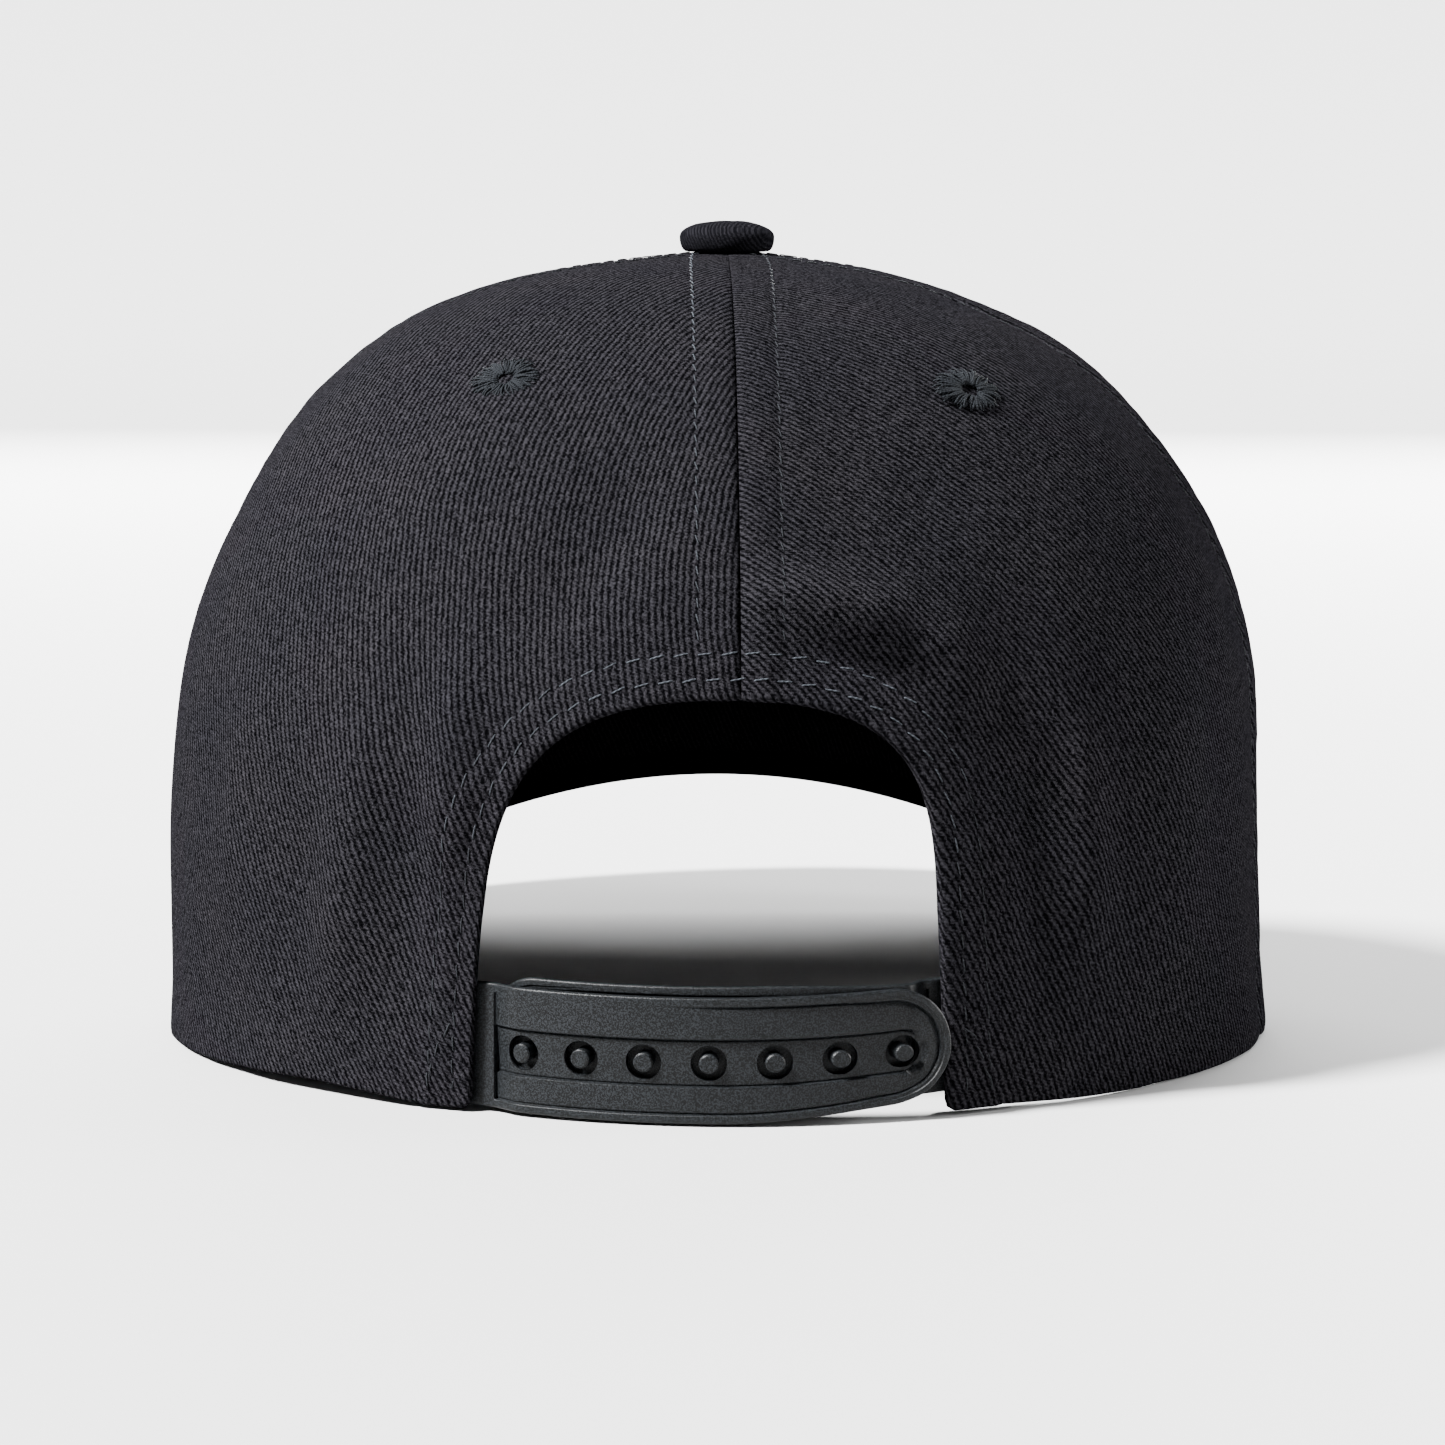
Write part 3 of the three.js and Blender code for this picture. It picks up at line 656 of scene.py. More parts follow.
# Millimetres from the panel's middle line and from the hem, as on the flat piece that the panel is
# cut from, so the warp stays parallel to the middle line up to the panel's tip.
def weavePlace(azimuth, level, centre, lean=None):
    table = np.linspace(0, 1, 300)
    spine = crownPoint(math.radians(centre), table)
    steps = np.linalg.norm(np.diff(spine, axis=0), axis=1)
    climb = np.concatenate([[0], np.cumsum(steps)])
    along, _ = crownSlopes(azimuth, level)
    aside = azimuth - math.radians(centre)
    u = np.linalg.norm(along, axis=-1) * aside
    turn = aside * smoothStep(level, 0.05, 0.95)
    turn = np.where(np.abs(turn) < 1e-4, 1e-4, turn)
    v = np.interp(level, table, climb) + u * (1 - np.cos(turn)) / turn
    u = u * np.sin(turn) / turn
    if lean:
        degrees = np.interp(table[1:], *lean[:2])
        slope = np.tan(np.radians(degrees)) - math.tan(math.radians(twill["warpAngle"]))
        u = u + np.interp(level, table, np.concatenate([[0], np.cumsum(slope * steps)]))
        u, v = u / lean[2], v / lean[2]
    return u, v


def insetPlaces(places, distance):  # moves a line of places into the cloth, at right angles to the line
    azimuth, level = places[:, 0], places[:, 1]
    point = crownPoint(azimuth, level)
    along, up = crownSlopes(azimuth, level)
    normal = unit(np.cross(along, up))
    tangent = unit(np.gradient(point, axis=0))
    inward = unit(np.cross(normal, tangent))
    solution = []
    for a, b, move in zip(along, up, inward * distance):
        solution.append(np.linalg.lstsq(np.stack([a, b], 1), move, rcond=None)[0])
    return places + np.array(solution), -inward


def clothPanel(node, bottom, topFrom, topTo, openFrom=None):
    # bottom holds azimuth and level along the lower edge, from the left to the right
    thick = crown["cloth"]
    centre = (topFrom + topTo) / 2
    inset, outward = insetPlaces(bottom, thick / 2)
    inset[0, 0], inset[-1, 0] = bottom[0, 0], bottom[-1, 0]
    columns = len(bottom) - 1
    share = np.linspace(0, 1, columns + 1)
    if openFrom:  # the columns that rise from the opening spread out over more of the top
        share = np.interp(share, *openFrom)
        padded = np.concatenate([2 * share[0] - share[7:0:-1], share, 2 * share[-1] - share[-2:-9:-1]])
        share = np.convolve(padded, np.ones(15) / 15, "valid")
    topAngle = math.radians(topFrom) + math.radians(topTo - topFrom) * share
    rows = int(round(crown["panelLength"] / crown["meshSize"]))
    t = np.linspace(0, 1, rows + 1)[:, None]
    azimuth = (1 - t) * inset[None, :, 0] + t * topAngle[None, :]
    level = np.clip((1 - t) * inset[None, :, 1] + t, 0, 0.9995)
    point = crownPoint(azimuth, level)
    normal = crownNormal(azimuth, level)
    lift = clothLift(point)
    outer = point + normal * lift[..., None]
    inner = point - normal * (thick - 0.35 * lift[..., None])
    middle = (outer[0] + inner[0]) / 2
    half = (outer[0] - inner[0]) / 2
    reach = np.linalg.norm(half, axis=1)[:, None]
    ring = []
    for turn in np.linspace(math.pi, 0, 8)[1:-1]:
        swing, drop = math.cos(turn), math.sin(turn) ** 0.6
        swing = math.copysign(abs(swing) ** 0.6, swing)
        ring.append(middle + half * swing + outward * reach * drop)
    ring = np.array(ring)
    points = np.vstack([inner[::-1].reshape(-1, 3), ring.reshape(-1, 3), outer.reshape(-1, 3)])
    u, v = weavePlace(azimuth, level, centre, twillLeans.get(node))
    rolled = np.linspace(2.2, 0.3, len(ring))[:, None]
    along, up = crownSlopes(inset[:, 0], inset[:, 1])
    ringU = u[:1] + rolled * (outward * unit(along)).sum(1)
    ringV = v[:1] + rolled * (outward * unit(up)).sum(1)
    us = np.vstack([u[::-1], ringU, u])
    vs = np.vstack([-v[::-1] - 2.5, ringV, v])
    vs = vs + 37.0 * (centre % 7)  # so that neighbouring panels' lines don't run on
    uvs = np.stack([us.ravel(), vs.ravel()], 1)
    faces = gridFaces(columns, len(us) - 1)
    across = columns + 1
    last = (len(us) - 1) * across
    for row in range(rows):  # the sides and the top close by joining the outer face to the inner one
        a, b = row * across, (row + 1) * across
        c, d = last - row * across, last - (row + 1) * across
        faces.append([a, b, d, c])
        faces.append([a + columns, c + columns, d + columns, b + columns])
    for column in range(columns):
        faces.append([column, last + column, last + column + 1, column + 1][::-1])
    piece = makeObject(node + "_cloth", points, faces, uvs, twillCloth, "twill")
    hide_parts(node)


def hemPlaces(fromDegrees, toDegrees):
    azimuth = np.radians(np.linspace(fromDegrees, toDegrees, 400))
    places = np.stack([azimuth, 0 * azimuth], 1)
    return resample(crownPoint(azimuth, 0 * azimuth), crown["meshSize"], places)


def backPanel(node, side, seam):
    arch = openingPlaces[side]
    hem = hemPlaces(seam, math.degrees(arch[0, 0]))
    arch = resample(crownPoint(*arch.T), crown["meshSize"], arch)
    hemShare = len(hem) / (len(hem) + len(arch) - 1)
    places = np.vstack([hem[:-1], arch])
    if side < 0:
        clothPanel(node, places, seam, 0, ([0, hemShare, 1], [0, 0.4, 1]))
    else:
        clothPanel(node, places[::-1], 0, seam, ([0, 1 - hemShare, 1], [0, 0.6, 1]))


backPanel("back_panel_left", -1, -crown["sideSeamLeft"])
backPanel("back_panel_right", 1, crown["sideSeamRight"])
for node, start, end in (
    ("side_panel_left", -crown["frontSeam"], -crown["sideSeamLeft"]),
    ("side_panel_right", crown["sideSeamRight"], crown["frontSeam"]),
    ("front_panel", crown["frontSeam"], 360 - crown["frontSeam"]),
):
    clothPanel(node, hemPlaces(start, end), start, end)
print("The crown's panels are sewn")


# Stitches. Each is a short thread that dips into the cloth at both ends.
def stitchRow(points, normals, pitch):
    length = lengths(points)
    made = []
    for index in range(int(length[-1] / pitch)):
        start = (index + 0.5 - stitching["length"] / 2) * pitch
        at = np.linspace(start, start + stitching["length"] * pitch, 7)
        made.append((rowsAt(at, length, points), unit(rowsAt(at, length, normals))))
    return made


def stitchObject(name, stitches, material, slant=0.2):
    made = [], [], []
    for number, (line, out) in enumerate(stitches):
        along = unit(np.gradient(line, axis=0))
        across = unit(np.cross(out, along))
        share = np.linspace(-1, 1, len(line))[:, None]
        sway = slant * (1 + 0.5 * math.sin(number * 2.4))
        radius = stitching["radius"] * (1 + 0.12 * math.sin(number * 1.7))
        fat = radius * np.sqrt(np.clip(1 - 0.85 * share ** 4, 0, 1))
        centre = line + out * (0.15 - 0.3 * share ** 6) + across * (sway * share)
        addTube(made, centre, fat * across, 0.8 * fat * out, share[:, 0] * 1.2 + number * 3.1, 7)
    makeObject(name, *made, material, "eyelet_thread")


def surfaceLine(places):  # points and normals of the finished cloth along a line of places
    point, normal = crownPoint(*places.T), crownNormal(*places.T)
    return point + normal * clothLift(point)[:, None], normal


def seamPlaces(degrees, offset, lowest):  # a line beside a seam, at a steady distance from it
    level = np.linspace(lowest, 0.985, 260)
    azimuth = np.full_like(level, math.radians(degrees))
    for _ in range(3):
        along, _ = crownSlopes(azimuth, level)
        wide = np.maximum(np.linalg.norm(along, axis=-1), abs(offset) * 1.1)
        azimuth = math.radians(degrees) + offset / wide
    return np.stack([azimuth, level], 1)


def openingRow(distance):
    whole = []
    for side in (-1, 1):
        arch = openingPlaces[side]
        arch = resample(crownPoint(*arch.T), 0.8, arch)[::-side]
        inset, _ = insetPlaces(arch, distance)
        whole.append(inset[(inset[:, 0] * side > -0.002) & (inset[:, 1] > 0.02)])
    return np.vstack(whole)


# Lit, half-lit and shaded copies of one thread: light and shade are painted into the thread's colour, lit
# on the left of the back seam and over the arch.
paintedLitStitches, paintedHalfLitStitches, paintedShadedStitches = [], [], []


def sortStitch(stitch, bright, mid):
    (paintedLitStitches if bright else paintedHalfLitStitches if mid else paintedShadedStitches).append(stitch)


for name, degrees in seamAngles.items():
    for offset in stitching["seamRows"]:
        lowest = openingTop + stitching["backStart"] if name == "back" else 0.01
        lit = name == "back" and offset < 0
        for stitch in stitchRow(*surfaceLine(seamPlaces(degrees, offset, lowest)), stitching["seamPitch"]):
            sortStitch(stitch, lit and stitch[0][3][2] > stitching["seamPaintedLit"], lit)
left, right, height = stitching["archPaintedLit"]
midRight, midHeight = stitching["archPaintedHalfLit"]
for distance in stitching["openingRows"]:
    for stitch in stitchRow(*surfaceLine(openingRow(distance)), stitching["openingPitch"]):
        x, _, z = stitch[0][3]
        sortStitch(stitch, z > height and left < x < right, z > midHeight and x < midRight)
# Painted light and shade: each group is drawn with its own lit, half-lit or shaded copy of the thread.
stitchObject("painted_lit_stitches", paintedLitStitches, paintedLitThread)
stitchObject("painted_half_lit_stitches", paintedHalfLitStitches, paintedHalfLitThread)
stitchObject("painted_shaded_stitches", paintedShadedStitches, paintedShadedThread)
print("Stitches:", len(paintedLitStitches) + len(paintedHalfLitStitches) + len(paintedShadedStitches))

# The covered button: a domed disc whose cloth is gathered in under it.
button = {
    "radius": 7.5,
    "height": 4.85,
    "seat": -0.35,
    "waist": 0.46,   # height of its widest part, as a share
    "roundness": 0.9,
}


def buildButton():
    seat, tall = button["seat"], button["height"]
    waist = seat + button["waist"] * tall
    profile = [(1.7, -2.6), (1.7, seat - 0.1), (0.6 * button["radius"], seat - 0.1)]
    for turn in np.linspace(-math.pi / 2, 0, 9):
        share = math.sin(turn)
        radius = button["radius"] * (0.83 + 0.17 * math.cos(turn) ** 0.8)
        profile.append((radius, waist + (waist - seat) * share))
    for turn in np.linspace(0, math.pi / 2, 22)[1:]:
        radius = button["radius"] * max(math.cos(turn), 0) ** button["roundness"]
        profile.append((radius, waist + (seat + tall - waist) * math.sin(turn) ** button["roundness"]))
    sides = 96
    points, uvs = [], []
    for radius, z in profile:
        for index in range(sides + 1):
            angle = 2 * math.pi * index / sides
            x, y = radius * math.sin(angle), -radius * math.cos(angle)
            bulge = 0.1 * noise.noise(Vector((x, y, z)) * 0.4)
            swell = 1 + bulge / 8
            points.append((x * swell, y * swell, crown["height"] + z + bulge * (z > waist)))
            uvs.append((x * 1.02 + 5, z * 1.2 - y * 0.9))
    faces = gridFaces(sides, len(profile) - 1)
    piece = makeObject("top_button_cloth", points, faces, uvs, buttonCloth, "twill")
    weld(piece, 1e-7)
    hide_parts("top_button")


buildButton()
print("The button is covered")

# Eyelets: fine stitches worked round a small hole, in layers.
eyeletLook = {
    "radius": 5.25,
    "hole": 1.6,
    "height": 0.5,
    "threads": 60,           # in a layer
    "layers": 3,
    "threadRadius": 0.13,
    "aside": (0.35, -0.25),  # of the hole from the middle
    "squash": 0.82,
    "cup": ((2.1, 0.12), (1.75, 0.05), (1.6, -0.5), (0.02, -0.6)),  # radius and depth of the cup whose near-black colour is painted shade in the hole
}
eyeletPlaces = [
    ("eyelet_back_left", -34.4, 0.854),
    ("eyelet_back_right", 34.8, 0.84),
    ("eyelet_side_left", -114, 0.855),
    ("eyelet_side_right", 107, 0.855),
]


def levelAtRise(rise):
    table = np.linspace(0, 1, 2000)
    return np.interp(rise, sectionAt(table)[:, 0], table)


def buildEyelet(name, degrees, rise):
    azimuth, level = np.array([math.radians(degrees)]), levelAtRise([rise])
    centre = crownPoint(azimuth, level)[0]
    out = crownNormal(azimuth, level)[0]
    side = unit(np.cross(np.array([0, 0, 1.0]), out))
    up = np.cross(out, side)
    count = eyeletLook["threads"] * eyeletLook["layers"]
    chance = random.Random(name)
    hole = centre + side * eyeletLook["aside"][0] + up * eyeletLook["aside"][1]
    share = np.linspace(0, 1, 10)[:, None]
    arch = eyeletLook["height"] * (np.sin(np.pi * np.minimum(1, share * 0.9 + 0.1)) ** 0.4 - 0.45)
    made = [], [], []
    for index in range(count):
        layer = index % eyeletLook["layers"]
        angle = 2 * math.pi * (index + chance.uniform(-0.9, 0.9)) / count
        radial = side * math.cos(angle) + up * (eyeletLook["squash"] * math.sin(angle))
        tangent = -side * math.sin(angle) + up * math.cos(angle)
        wide = 1 + 0.05 * math.cos(2 * angle) + 0.03 * math.sin(3 * angle + len(name))
        reach = eyeletLook["radius"] * wide * chance.uniform(0.74, 1.1)
        near = eyeletLook["hole"] * chance.uniform(0.85, 1.3)
        bow = chance.uniform(-0.5, 0.5)
        rest = chance.uniform(-0.1, 0.2) + 0.12 * layer
        radius = near + (reach - near) * share
        line = hole * (1 - share) + centre * share + radial * radius + out * (arch + rest)
        line = line + tangent * bow * np.sin(np.pi * share)
        half = np.full((len(line), 1), eyeletLook["threadRadius"])
        addTube(made, line, half * tangent, half * out, radius[:, 0] + index * 3.7, 6)
    piece = makeObject(name + "_embroidery", *made, eyeletThread, "eyelet_thread")
    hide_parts(name)
    # The hole is a cup in near-black: painted shade where the hole would lie in shadow.
    cup, cupUvs, cupSides = [], [], 24
    for radius, depth in eyeletLook["cup"]:
        for angle in np.linspace(0, 2 * math.pi, cupSides + 1):
            cup.append(hole + radius * (side * math.cos(angle) + up * math.sin(angle)) + out * depth)
            cupUvs.append((angle, depth))
    cupFaces = gridFaces(cupSides, len(eyeletLook["cup"]) - 1)
    makeObject(name + "_painted_shade_cup", cup, cupFaces, cupUvs, paintedShadeCupCloth, "eyelet_thread")


for name, degrees, rise in eyeletPlaces:
    buildEyelet(name, degrees, rise)
print("The eyelets are worked")

# The two straps, built flat and then bent along the back of the crown.
strap = {
    "height": 18.4,
    "thickness": 1.4,
    "tuck": 11.0,           # of the square end under the cloth
    "pastOpening": 1.5,     # of the round end over the cloth
    "play": 0.3,            # between the straps
    "clothPlay": 0.55,
    "depths": (0.36, 0.86),  # at the first and last snap, from inside the cloth to over it
    "low": 0.2,             # of the lower edge over the hem's foot
    "riseLeft": 0.3,
    "riseRight": 1.1,
    "bulge": 2.2,           # outwards in the middle
    "pegLift": 1.35,
    "pegFall": 1.3,         # towards the right
    "count": 7,
    "pitch": 9.35,
    "holeRadius": 2.6,
    "pegRadius": 1.4,
    "pegHeight": 1.75,
    "pegFoot": -1.35,
    "pegChamfer": 0.2,
    "border": 1.3,
    "field": 0.42,
    "channelHalf": 3.45,
    "channel": 0.5,         # below the field
    "tab": 0.5,
    "edgeRadius": 0.35,
    "borderGroove": 0.2,    # depths of the grooves along the mouldings
    "tabGroove": 0.4,
    "channelGroove": 0.18,
    "roundStep": 0.2,       # on the border of the round end
    "recess": 1.3,          # depth of the ring round a peg
    "recessRadius": 2.75,
    "snapDrop": 0.4,        # of the snaps below the middle line
    "taper": 0.17,          # of the lower half's height towards the right
}
halfOpening = opening["halfWidth"]
halfStrap = strap["height"] / 2
lastSnap = strap["pitch"] * (strap["count"] - 1) / 2
insideCloth = -(crown["cloth"] + strap["clothPlay"])
overCloth = strap["thickness"] + strap["clothPlay"]
atFirstSnap, atLastSnap = [insideCloth + (overCloth - insideCloth) * depth for depth in strap["depths"]]
tabEnd = strap["tab"] - halfOpening

curveAngle = np.radians(np.linspace(-55, 55, 1200))
curveLevel = float(levelAtRise(0.5 * strap["height"] / crown["height"]))
curveLine = crownPoint(curveAngle, curveLevel)[:, :2]
curveLength = lengths(curveLine)
openingMiddle = float(np.interp(opening["sway"], curveLine[:, 0], curveLength))


def holeStrapOut(along):
    along = np.asarray(along, float)
    bulge = strap["bulge"] * np.maximum(0, 1 - (along / halfOpening) ** 2)
    left = insideCloth + (atFirstSnap - insideCloth) * smoothStep(along, -halfOpening, -lastSnap)
    middle = atFirstSnap + (atLastSnap - atFirstSnap) * (along + lastSnap) / (2 * lastSnap)
    right = atLastSnap + (overCloth - atLastSnap) * smoothStep(along, lastSnap, lastSnap + 4)
    return bulge + np.where(along < -lastSnap, left, np.where(along < lastSnap, middle, right))


def pegStrapOut(along):
    behind = holeStrapOut(along) - strap["thickness"] - strap["play"]
    return behind + (insideCloth - behind) * smoothStep(along, lastSnap + 1, halfOpening - 1)


def holeStrapLow(along):
    along = np.asarray(along, float)
    rise = np.where(along < 0, strap["riseLeft"], strap["riseRight"])
    return strap["low"] + rise * (along / halfOpening) ** 2


def pegStrapLow(along):
    return holeStrapLow(along) + strap["pegLift"] - strap["pegFall"] * smoothStep(along, 8, 34)


def bendStrap(points, outOf, lowOf):  # flat points hold along, height from the middle, and depth
    points = np.asarray(points, float)
    along = points[:, 0]
    at = openingMiddle + along
    base, ahead, behind = [rowsAt(at + step, curveLength, curveLine) for step in (0, 0.4, -0.4)]
    tangent = unit(ahead - behind)
    outward = np.stack([tangent[:, 1], -tangent[:, 0]], 1)
    place = base + outward * (outOf(along) + points[:, 2])[:, None]
    height = points[:, 1] * (1 - strap["taper"] * smoothStep(along, 2, 30) * (points[:, 1] < 0))
    z = lowOf(along) + halfStrap + height
    return np.column_stack([place, z])


def pastTab(along):  # 0 on the square tab, 1 beyond it
    return smoothStep(along, tabEnd - 0.1, tabEnd + 0.15)


def roundedEdge(inward):  # how far an edge falls, at a distance from it
    rounded = np.clip(1 - inward / strap["edgeRadius"], 0, 1)
    return strap["edgeRadius"] * (1 - np.sqrt(np.clip(1 - rounded ** 2, 0, 1)))


def strapProfile(inward, along, height):  # depth of the outer face at a distance from the edge
    depth = -roundedEdge(inward)
    inField = pastTab(along)
    upper = smoothStep(height, -strap["channelHalf"], strap["channelHalf"])
    fades = 1 - upper * (1 - smoothStep(along, -14, 16))  # along the top the border rises from the field
    roundPart = smoothStep(along, halfOpening - halfStrap - 8, halfOpening - halfStrap + 2)
    border = strap["border"] + 0.35 * roundPart
    depth -= strap["field"] * smoothStep(inward, border - 0.12, border + 0.08) * inField * fades
    depth -= strap["borderGroove"] * np.exp(-((inward - border - 0.1) / 0.16) ** 2) * inField * fades
    tabEdge = along + halfOpening - strap["tab"]
    depth -= strap["tabGroove"] * np.exp(-((tabEdge - 0.15) / 0.17) ** 2) * (inward > border)
    depth -= strap["roundStep"] * roundPart * smoothStep(inward, 0.62 * border - 0.08, 0.62 * border + 0.08)
    return depth


def buildStrapBody(name, side, channel):
    roundEnd = halfOpening + strap["pastOpening"]
    squareEnd = -(halfOpening + strap["tuck"])
    centre = roundEnd - halfStrap
    straight = np.unique(np.concatenate([
        np.linspace(squareEnd, centre, 170),
        np.linspace(tabEnd - 0.3, tabEnd + 0.3, 9),
    ]))
    inward = np.unique(np.round(np.concatenate([
        np.linspace(0, strap["edgeRadius"], 6),
        np.linspace(0.62 * strap["border"] - 0.12, 0.62 * strap["border"] + 0.32, 8),
        np.linspace(strap["border"] - 0.16, strap["border"] + 0.5, 11),
        np.linspace(strap["border"] + 0.7, halfStrap - strap["channelHalf"] - 0.3, 6),
        halfStrap - strap["channelHalf"] + strap["snapDrop"] * np.linspace(-1.9, 1.9, 25),
        np.linspace(halfStrap - strap["channelHalf"] + 0.9, halfStrap, 14),
    ]), 4))
    stations = [(a, -1.0, None) for a in straight]
    for turn in np.linspace(-math.pi / 2, math.pi / 2, 65)[1:-1]:
        stations.append((centre, 0.0, turn))
    stations += [(a, 1.0, None) for a in straight[::-1]]
    flat = []
    for face in (1, -1):
        for q in inward:
            for a, sign, turn in stations:
                reach = halfStrap - q
                if turn is None:
                    along, height = a, sign * reach
                else:
                    along, height = centre + reach * math.cos(turn), reach * math.sin(turn)
                if face < 0:
                    depth = float(roundedEdge(q)) - strap["thickness"]
                else:
                    depth = float(strapProfile(q, along, height))
                if face > 0 and channel:
                    rise = height + strap["snapDrop"]
                    away = math.hypot(along - lastSnap, rise) if along > lastSnap else abs(rise)
                    offset = strap["channelHalf"] - away
                    begins = float(pastTab(along))
                    depth -= strap["channel"] * float(smoothStep(offset, -0.12, 0.12)) * begins
                    depth -= strap["channelGroove"] * math.exp(-((offset - 0.1) / 0.15) ** 2) * begins
                flat.append((along * side, height, depth))
    columns, rows = len(stations) - 1, len(inward) - 1
    count = (columns + 1) * (rows + 1)
    faces = gridFaces(columns, rows, 0, side < 0) + gridFaces(columns, rows, count, side > 0)
    for c in range(columns):  # the narrow edge between the faces
        a, b = c, c + 1
        quad = [a, count + a, count + b, b]
        faces.append(quad if side > 0 else quad[::-1])
    mesh = bmesh.new()
    verts = [mesh.verts.new(Vector(p)) for p in flat]
    for face in faces:
        mesh.faces.new([verts[i] for i in face])
    bmesh.ops.remove_doubles(mesh, verts=mesh.verts, dist=1e-4)
    bmesh.ops.dissolve_degenerate(mesh, dist=1e-5, edges=mesh.edges)
    bmesh.ops.holes_fill(mesh, edges=[edge for edge in mesh.edges if edge.is_boundary], sides=0)
    bmesh.ops.recalc_face_normals(mesh, faces=mesh.faces)
    data = bpy.data.meshes.new(name)
    mesh.to_mesh(data)
    mesh.free()
    return newObject(name, data)


def snapHeightOffset(along, lowOf):  # a snap's height from a strap's middle line
    return float(holeStrapLow(along) - lowOf(along)) - strap["snapDrop"]


def applyModifiers(piece):
    bpy.context.view_layer.update()
    graph = bpy.context.evaluated_depsgraph_get()
    baked = bpy.data.meshes.new_from_object(piece.evaluated_get(graph))
    old = piece.data
    piece.modifiers.clear()
    piece.data = baked
    bpy.data.meshes.remove(old)


def addCylinder(mesh, along, height, rings, sides):  # rings of radius and depth
    made = []
    for radius, depth in rings:
        made.append([mesh.verts.new((along + radius * math.cos(2 * math.pi * k / sides),
                                     height + radius * math.sin(2 * math.pi * k / sides), depth))
                     for k in range(sides)])
    for a, b in zip(made, made[1:]):
        for k in range(sides):
            mesh.faces.new([a[k], a[(k + 1) % sides], b[(k + 1) % sides], b[k]])
    mesh.faces.new(made[0][::-1])
    mesh.faces.new(made[-1])


def finishStrap(piece, outOf, lowOf, node):
    data = piece.data
    flat = np.zeros(len(data.vertices) * 3)
    data.vertices.foreach_get("co", flat)
    bent = toFrame(bendStrap(flat.reshape(-1, 3), outOf, lowOf))
    data.vertices.foreach_set("co", bent.ravel())
    data.update()
    data.materials.clear()
    data.materials.append(strapPlastic)
    data.polygons.foreach_set("use_smooth", [True] * len(data.polygons))
    data.set_sharp_from_angle(angle=math.radians(38))
    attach(piece, "root")
    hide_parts(node)


snapAlongs = [strap["pitch"] * k - lastSnap for k in range(strap["count"])]


def cutHoles(piece, radius, bottom, lowOf):  # round holes at every snap, down to a depth
    cutter = bmesh.new()
    for along in snapAlongs:
        addCylinder(cutter, along, snapHeightOffset(along, lowOf), [(radius, bottom), (radius, 3)], 48)
    bmesh.ops.recalc_face_normals(cutter, faces=cutter.faces)
    cutterPiece = newObject("holes", bpy.data.meshes.new("holes"))
    cutter.to_mesh(cutterPiece.data)
    cutter.free()
    cut = piece.modifiers.new("holes", "BOOLEAN")
    cut.operation = "DIFFERENCE"
    cut.solver = "EXACT"
    cut.object = cutterPiece
    applyModifiers(piece)
    bpy.data.objects.remove(cutterPiece)


holed = buildStrapBody("strap_with_holes_moulding", 1, True)
cutHoles(holed, strap["holeRadius"], -3, holeStrapLow)
finishStrap(holed, holeStrapOut, holeStrapLow, "strap_with_holes")

pegged = buildStrapBody("strap_with_pegs_moulding", -1, False)
cutHoles(pegged, strap["recessRadius"], -strap["recess"], pegStrapLow)
joined = bmesh.new()
joined.from_mesh(pegged.data)
pegRings = [
    (strap["pegRadius"], strap["pegFoot"]),
    (strap["pegRadius"], strap["pegHeight"] - strap["pegChamfer"]),
    (strap["pegRadius"] - strap["pegChamfer"], strap["pegHeight"]),
]
for along in snapAlongs:
    addCylinder(joined, along, snapHeightOffset(along, pegStrapLow), pegRings, 40)
joined.to_mesh(pegged.data)
joined.free()
finishStrap(pegged, pegStrapOut, pegStrapLow, "strap_with_pegs")
print("The straps are moulded")


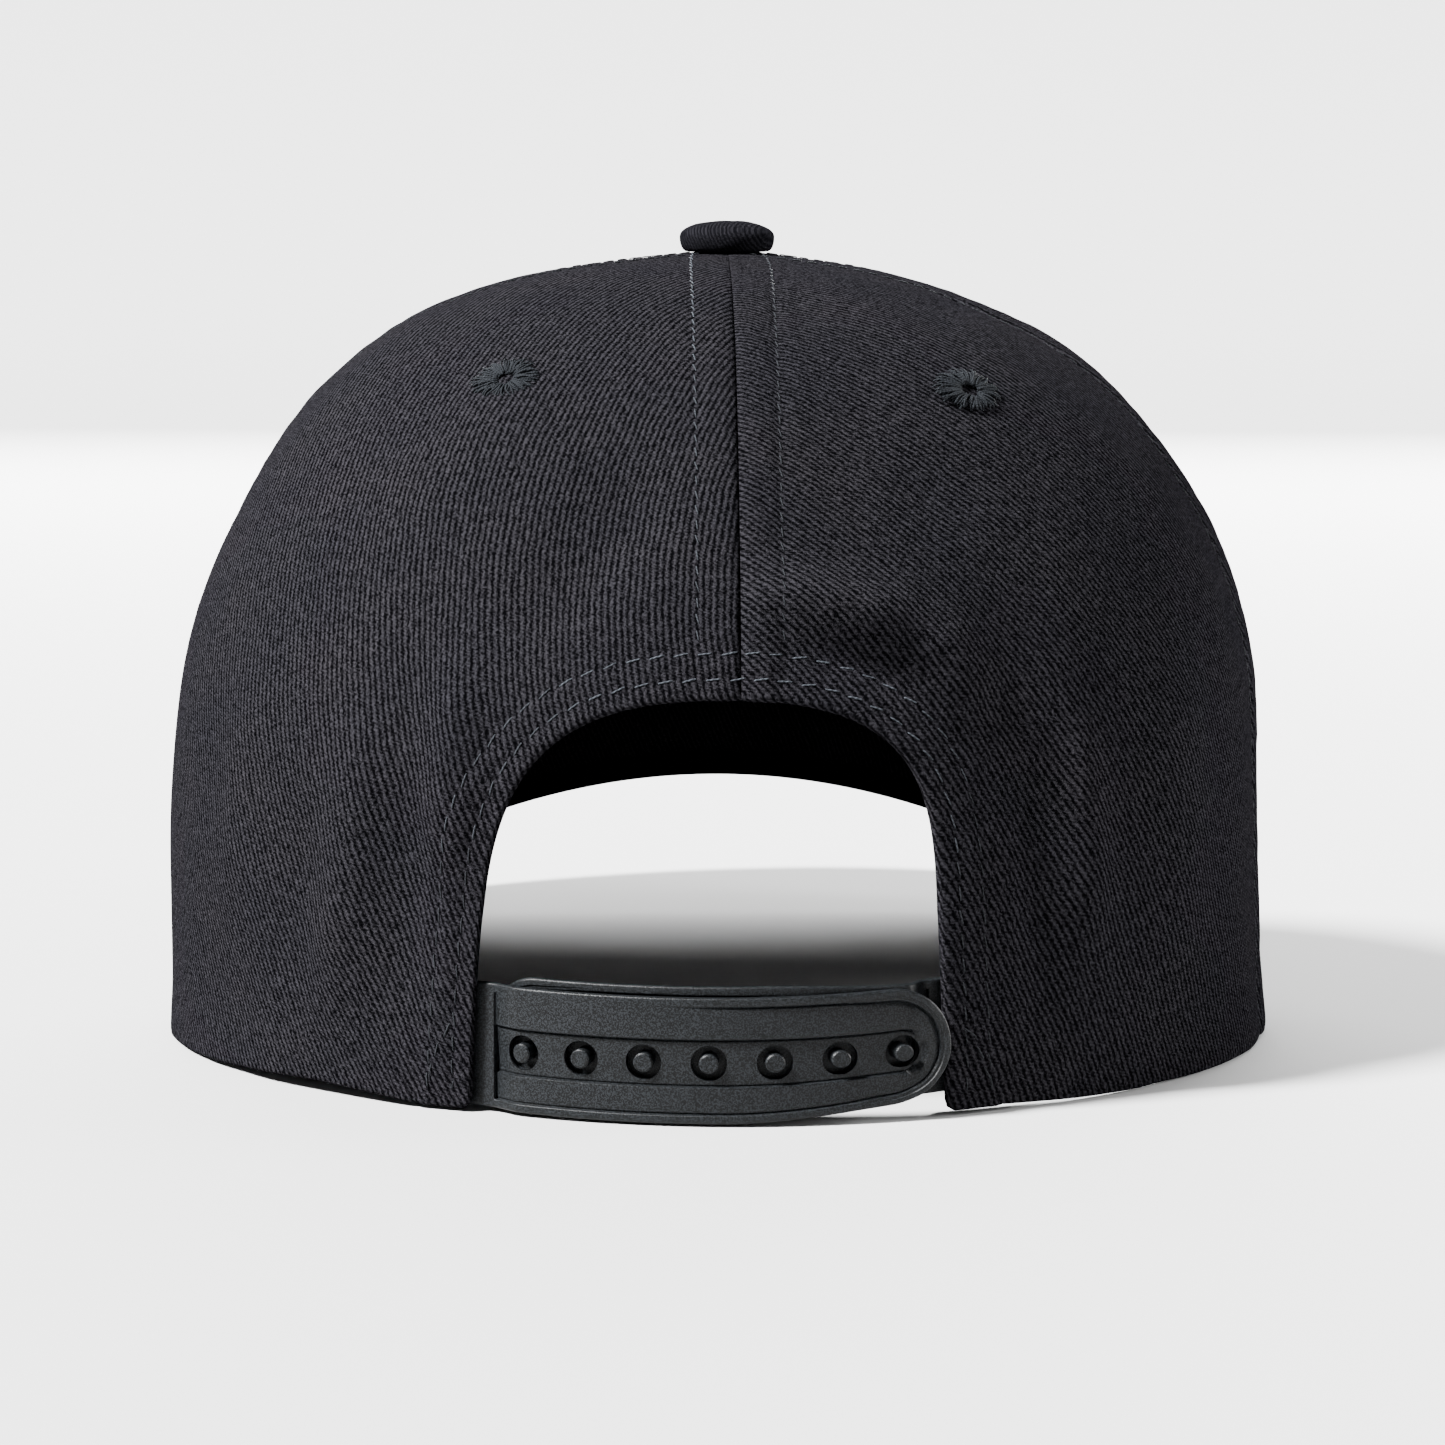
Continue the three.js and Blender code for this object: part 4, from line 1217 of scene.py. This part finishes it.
# The peak: a stiff board in cloth, stitched in rows.
def buildPeak():
    columns, rows = 190, 70
    angle = np.radians(np.linspace(-peak["halfAngle"], peak["halfAngle"], columns + 1))
    fromFront = np.degrees(np.abs(angle))
    azimuth = math.pi - angle
    share = np.linspace(0, 1, rows + 1)[:, None]
    start = crownRadius(azimuth, 0 * azimuth) - crown["cloth"]
    edge = start + crown["cloth"] + peakReach(fromFront)
    sway = crown["halfWidth"] * sections[0, 4] * np.sin(azimuth) ** 2
    wall = peakWall(fromFront)
    radius = start + share * (edge - start)
    x, y = radius * np.sin(azimuth), -radius * np.cos(azimuth)
    base = peakUnderside(x, y)
    toEdge = np.minimum(edge - radius, 60)
    rounding = wall / 2
    tuck = np.clip(1 - toEdge / rounding, 0, 1)
    pinch = rounding * (1 - np.sqrt(np.clip(1 - tuck ** 2, 0, 1)))
    groove = np.zeros_like(radius)
    for inward in peak["stitchRows"]:
        groove += peak["rowGroove"] * np.exp(-((toEdge - inward) / 0.8) ** 2)
    root = radius < start + crown["cloth"] + 0.1
    topZ = base + wall - pinch - groove + peak["rootRise"] * root
    underZ = base + pinch + 0.6 * groove
    outer = np.stack([sway + x, y, topZ], -1)
    inner = np.stack([sway + x, y, underZ], -1)
    points = np.vstack([outer.reshape(-1, 3), inner.reshape(-1, 3)])
    count = (columns + 1) * (rows + 1)
    faces = gridFaces(columns, rows) + gridFaces(columns, rows, count, True)
    for c in range(columns):
        faces.append([c, count + c, count + c + 1, c + 1][::-1])
    for r in range(rows):
        a, b = r * (columns + 1), (r + 1) * (columns + 1)
        faces.append([a, b, count + b, count + a][::-1])
        a, b = a + columns, b + columns
        faces.append([a, b, count + b, count + a])
    uv = np.stack([x.ravel(), y.ravel()], 1)
    uvs = np.vstack([uv, uv * [1, -1]])
    piece = makeObject("peak_cloth", points, faces, uvs, twillCloth, "twill")
    weld(piece, 2e-6, True)
    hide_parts("peak")
    stitches = []
    for inward in peak["stitchRows"]:
        r = edge - inward
        keep = r > start + crown["cloth"] + 3
        px, py = (r * np.sin(azimuth))[keep], (-r * np.cos(azimuth))[keep]
        z = peakUnderside(px, py) + wall[keep] - 0.12
        line = np.stack([px + sway[keep], py, z], 1)
        normals = unit(np.stack([-np.gradient(z, px + 1e-9), 0 * px, np.ones_like(px)], 1))
        stitches += stitchRow(line, normals, peak["stitchPitch"])
    # Painted shade: the peak's stitches take the shaded copy of the thread.
    stitchObject("peak_stitches", stitches, paintedShadedThread, 0.13)
    return len(stitches)


print("The peak is covered, stitches:", buildPeak())

# Studio: a pale floor that curves up into a backdrop, in metres, and soft light from the upper left.
studio = {
    "floor": ((0.42, 0.42, 0.42, 1), (0.4242, 0.4242, 0.4242, 1)),
    "world": 0.16,
    "key": {"azimuth": -67.0, "elevation": 48.0, "strength": 34.0, "spread": 12.0},
    # place, target, size and power
    "behind": ((0.1, 1.4, 0.5), (0, 0, 0.02), (1.8, 0.36), 120.0),
    "side": ((1.3, 0.1, 0.35), (0, -0.04, 0.05), (0.5, 0.5), 42.0),
    "wide": 9.0,            # half the backdrop's width
    "front": -9.0,
    "back": 2.2,
    "curve": 1.0,
    "high": 4.0,
}


def buildBackdrop():
    profile = [(studio["front"], 0), (0, 0), (studio["back"], 0)]
    for turn in np.linspace(0, math.pi / 2, 25)[1:]:
        profile.append((studio["back"] + studio["curve"] * math.sin(turn),
                        studio["curve"] * (1 - math.cos(turn))))
    profile.append((studio["back"] + studio["curve"], studio["high"]))
    points = [(side * studio["wide"], y, z - 0.0002) for y, z in profile for side in (-1, 1)]
    mesh = bpy.data.meshes.new("floor")
    mesh.from_pydata(points, [], gridFaces(1, len(profile) - 1))
    mesh.polygons.foreach_set("use_smooth", [True] * len(mesh.polygons))
    mesh.materials.append(plainMaterial("studioFloor", *studio["floor"], 1.2, 0.9, 0.1))
    backdrop = newObject("floor", mesh)


def hang(name, light, aim):
    lamp = newObject(name, light)
    lamp.rotation_euler = Vector(aim).to_track_quat("-Z", "Y").to_euler()
    return lamp


def sunLight(name, azimuth, elevation, strength, spread):
    light = bpy.data.lights.new(name, "SUN")
    light.energy = strength
    light.angle = math.radians(spread)
    turn, rise = math.radians(azimuth), math.radians(elevation)
    hang(name, light, (-math.sin(turn) * math.cos(rise), math.cos(turn) * math.cos(rise), -math.sin(rise)))


def areaLight(name, place, target, size, power):
    light = bpy.data.lights.new(name, "AREA")
    light.shape = "RECTANGLE"
    light.size, light.size_y = size
    light.energy = power
    hang(name, light, Vector(target) - Vector(place)).location = place


buildBackdrop()
sunLight("key", **studio["key"])
areaLight("behind", *studio["behind"])
areaLight("side", *studio["side"])
world = bpy.data.worlds.new("studio")
bpy.context.scene.world = world
world.use_nodes = True
background = world.node_tree.nodes["Background"]
background.inputs[0].default_value = (1, 1, 1, 1)
background.inputs[1].default_value = studio["world"]

camera = {
    "distance": 850.0,
    "height": 145.0,
    "azimuth": 1.4,     # degrees to the cap's left
    "pitch": 6.51,      # degrees downwards
    "yaw": 0.049,
    "focal": 5345.0,    # in the photograph's pixels
    "image": 1445.0,
}


def placeCamera():
    turn = math.radians(camera["azimuth"])
    back = camera["distance"]
    place = np.array([-back * math.sin(turn), -back * math.cos(turn), camera["height"]])
    data = bpy.data.cameras.new("camera")
    data.sensor_width = 36
    data.lens = camera["focal"] / camera["image"] * 36
    data.clip_start, data.clip_end = 0.05, 60
    eye = newObject("camera", data)
    eye.location = toFrame(place)
    yaw = -turn + math.radians(camera["yaw"])
    eye.rotation_euler = (math.radians(90 - camera["pitch"]), 0, yaw)
    bpy.context.scene.camera = eye


placeCamera()
print("The studio is lit")
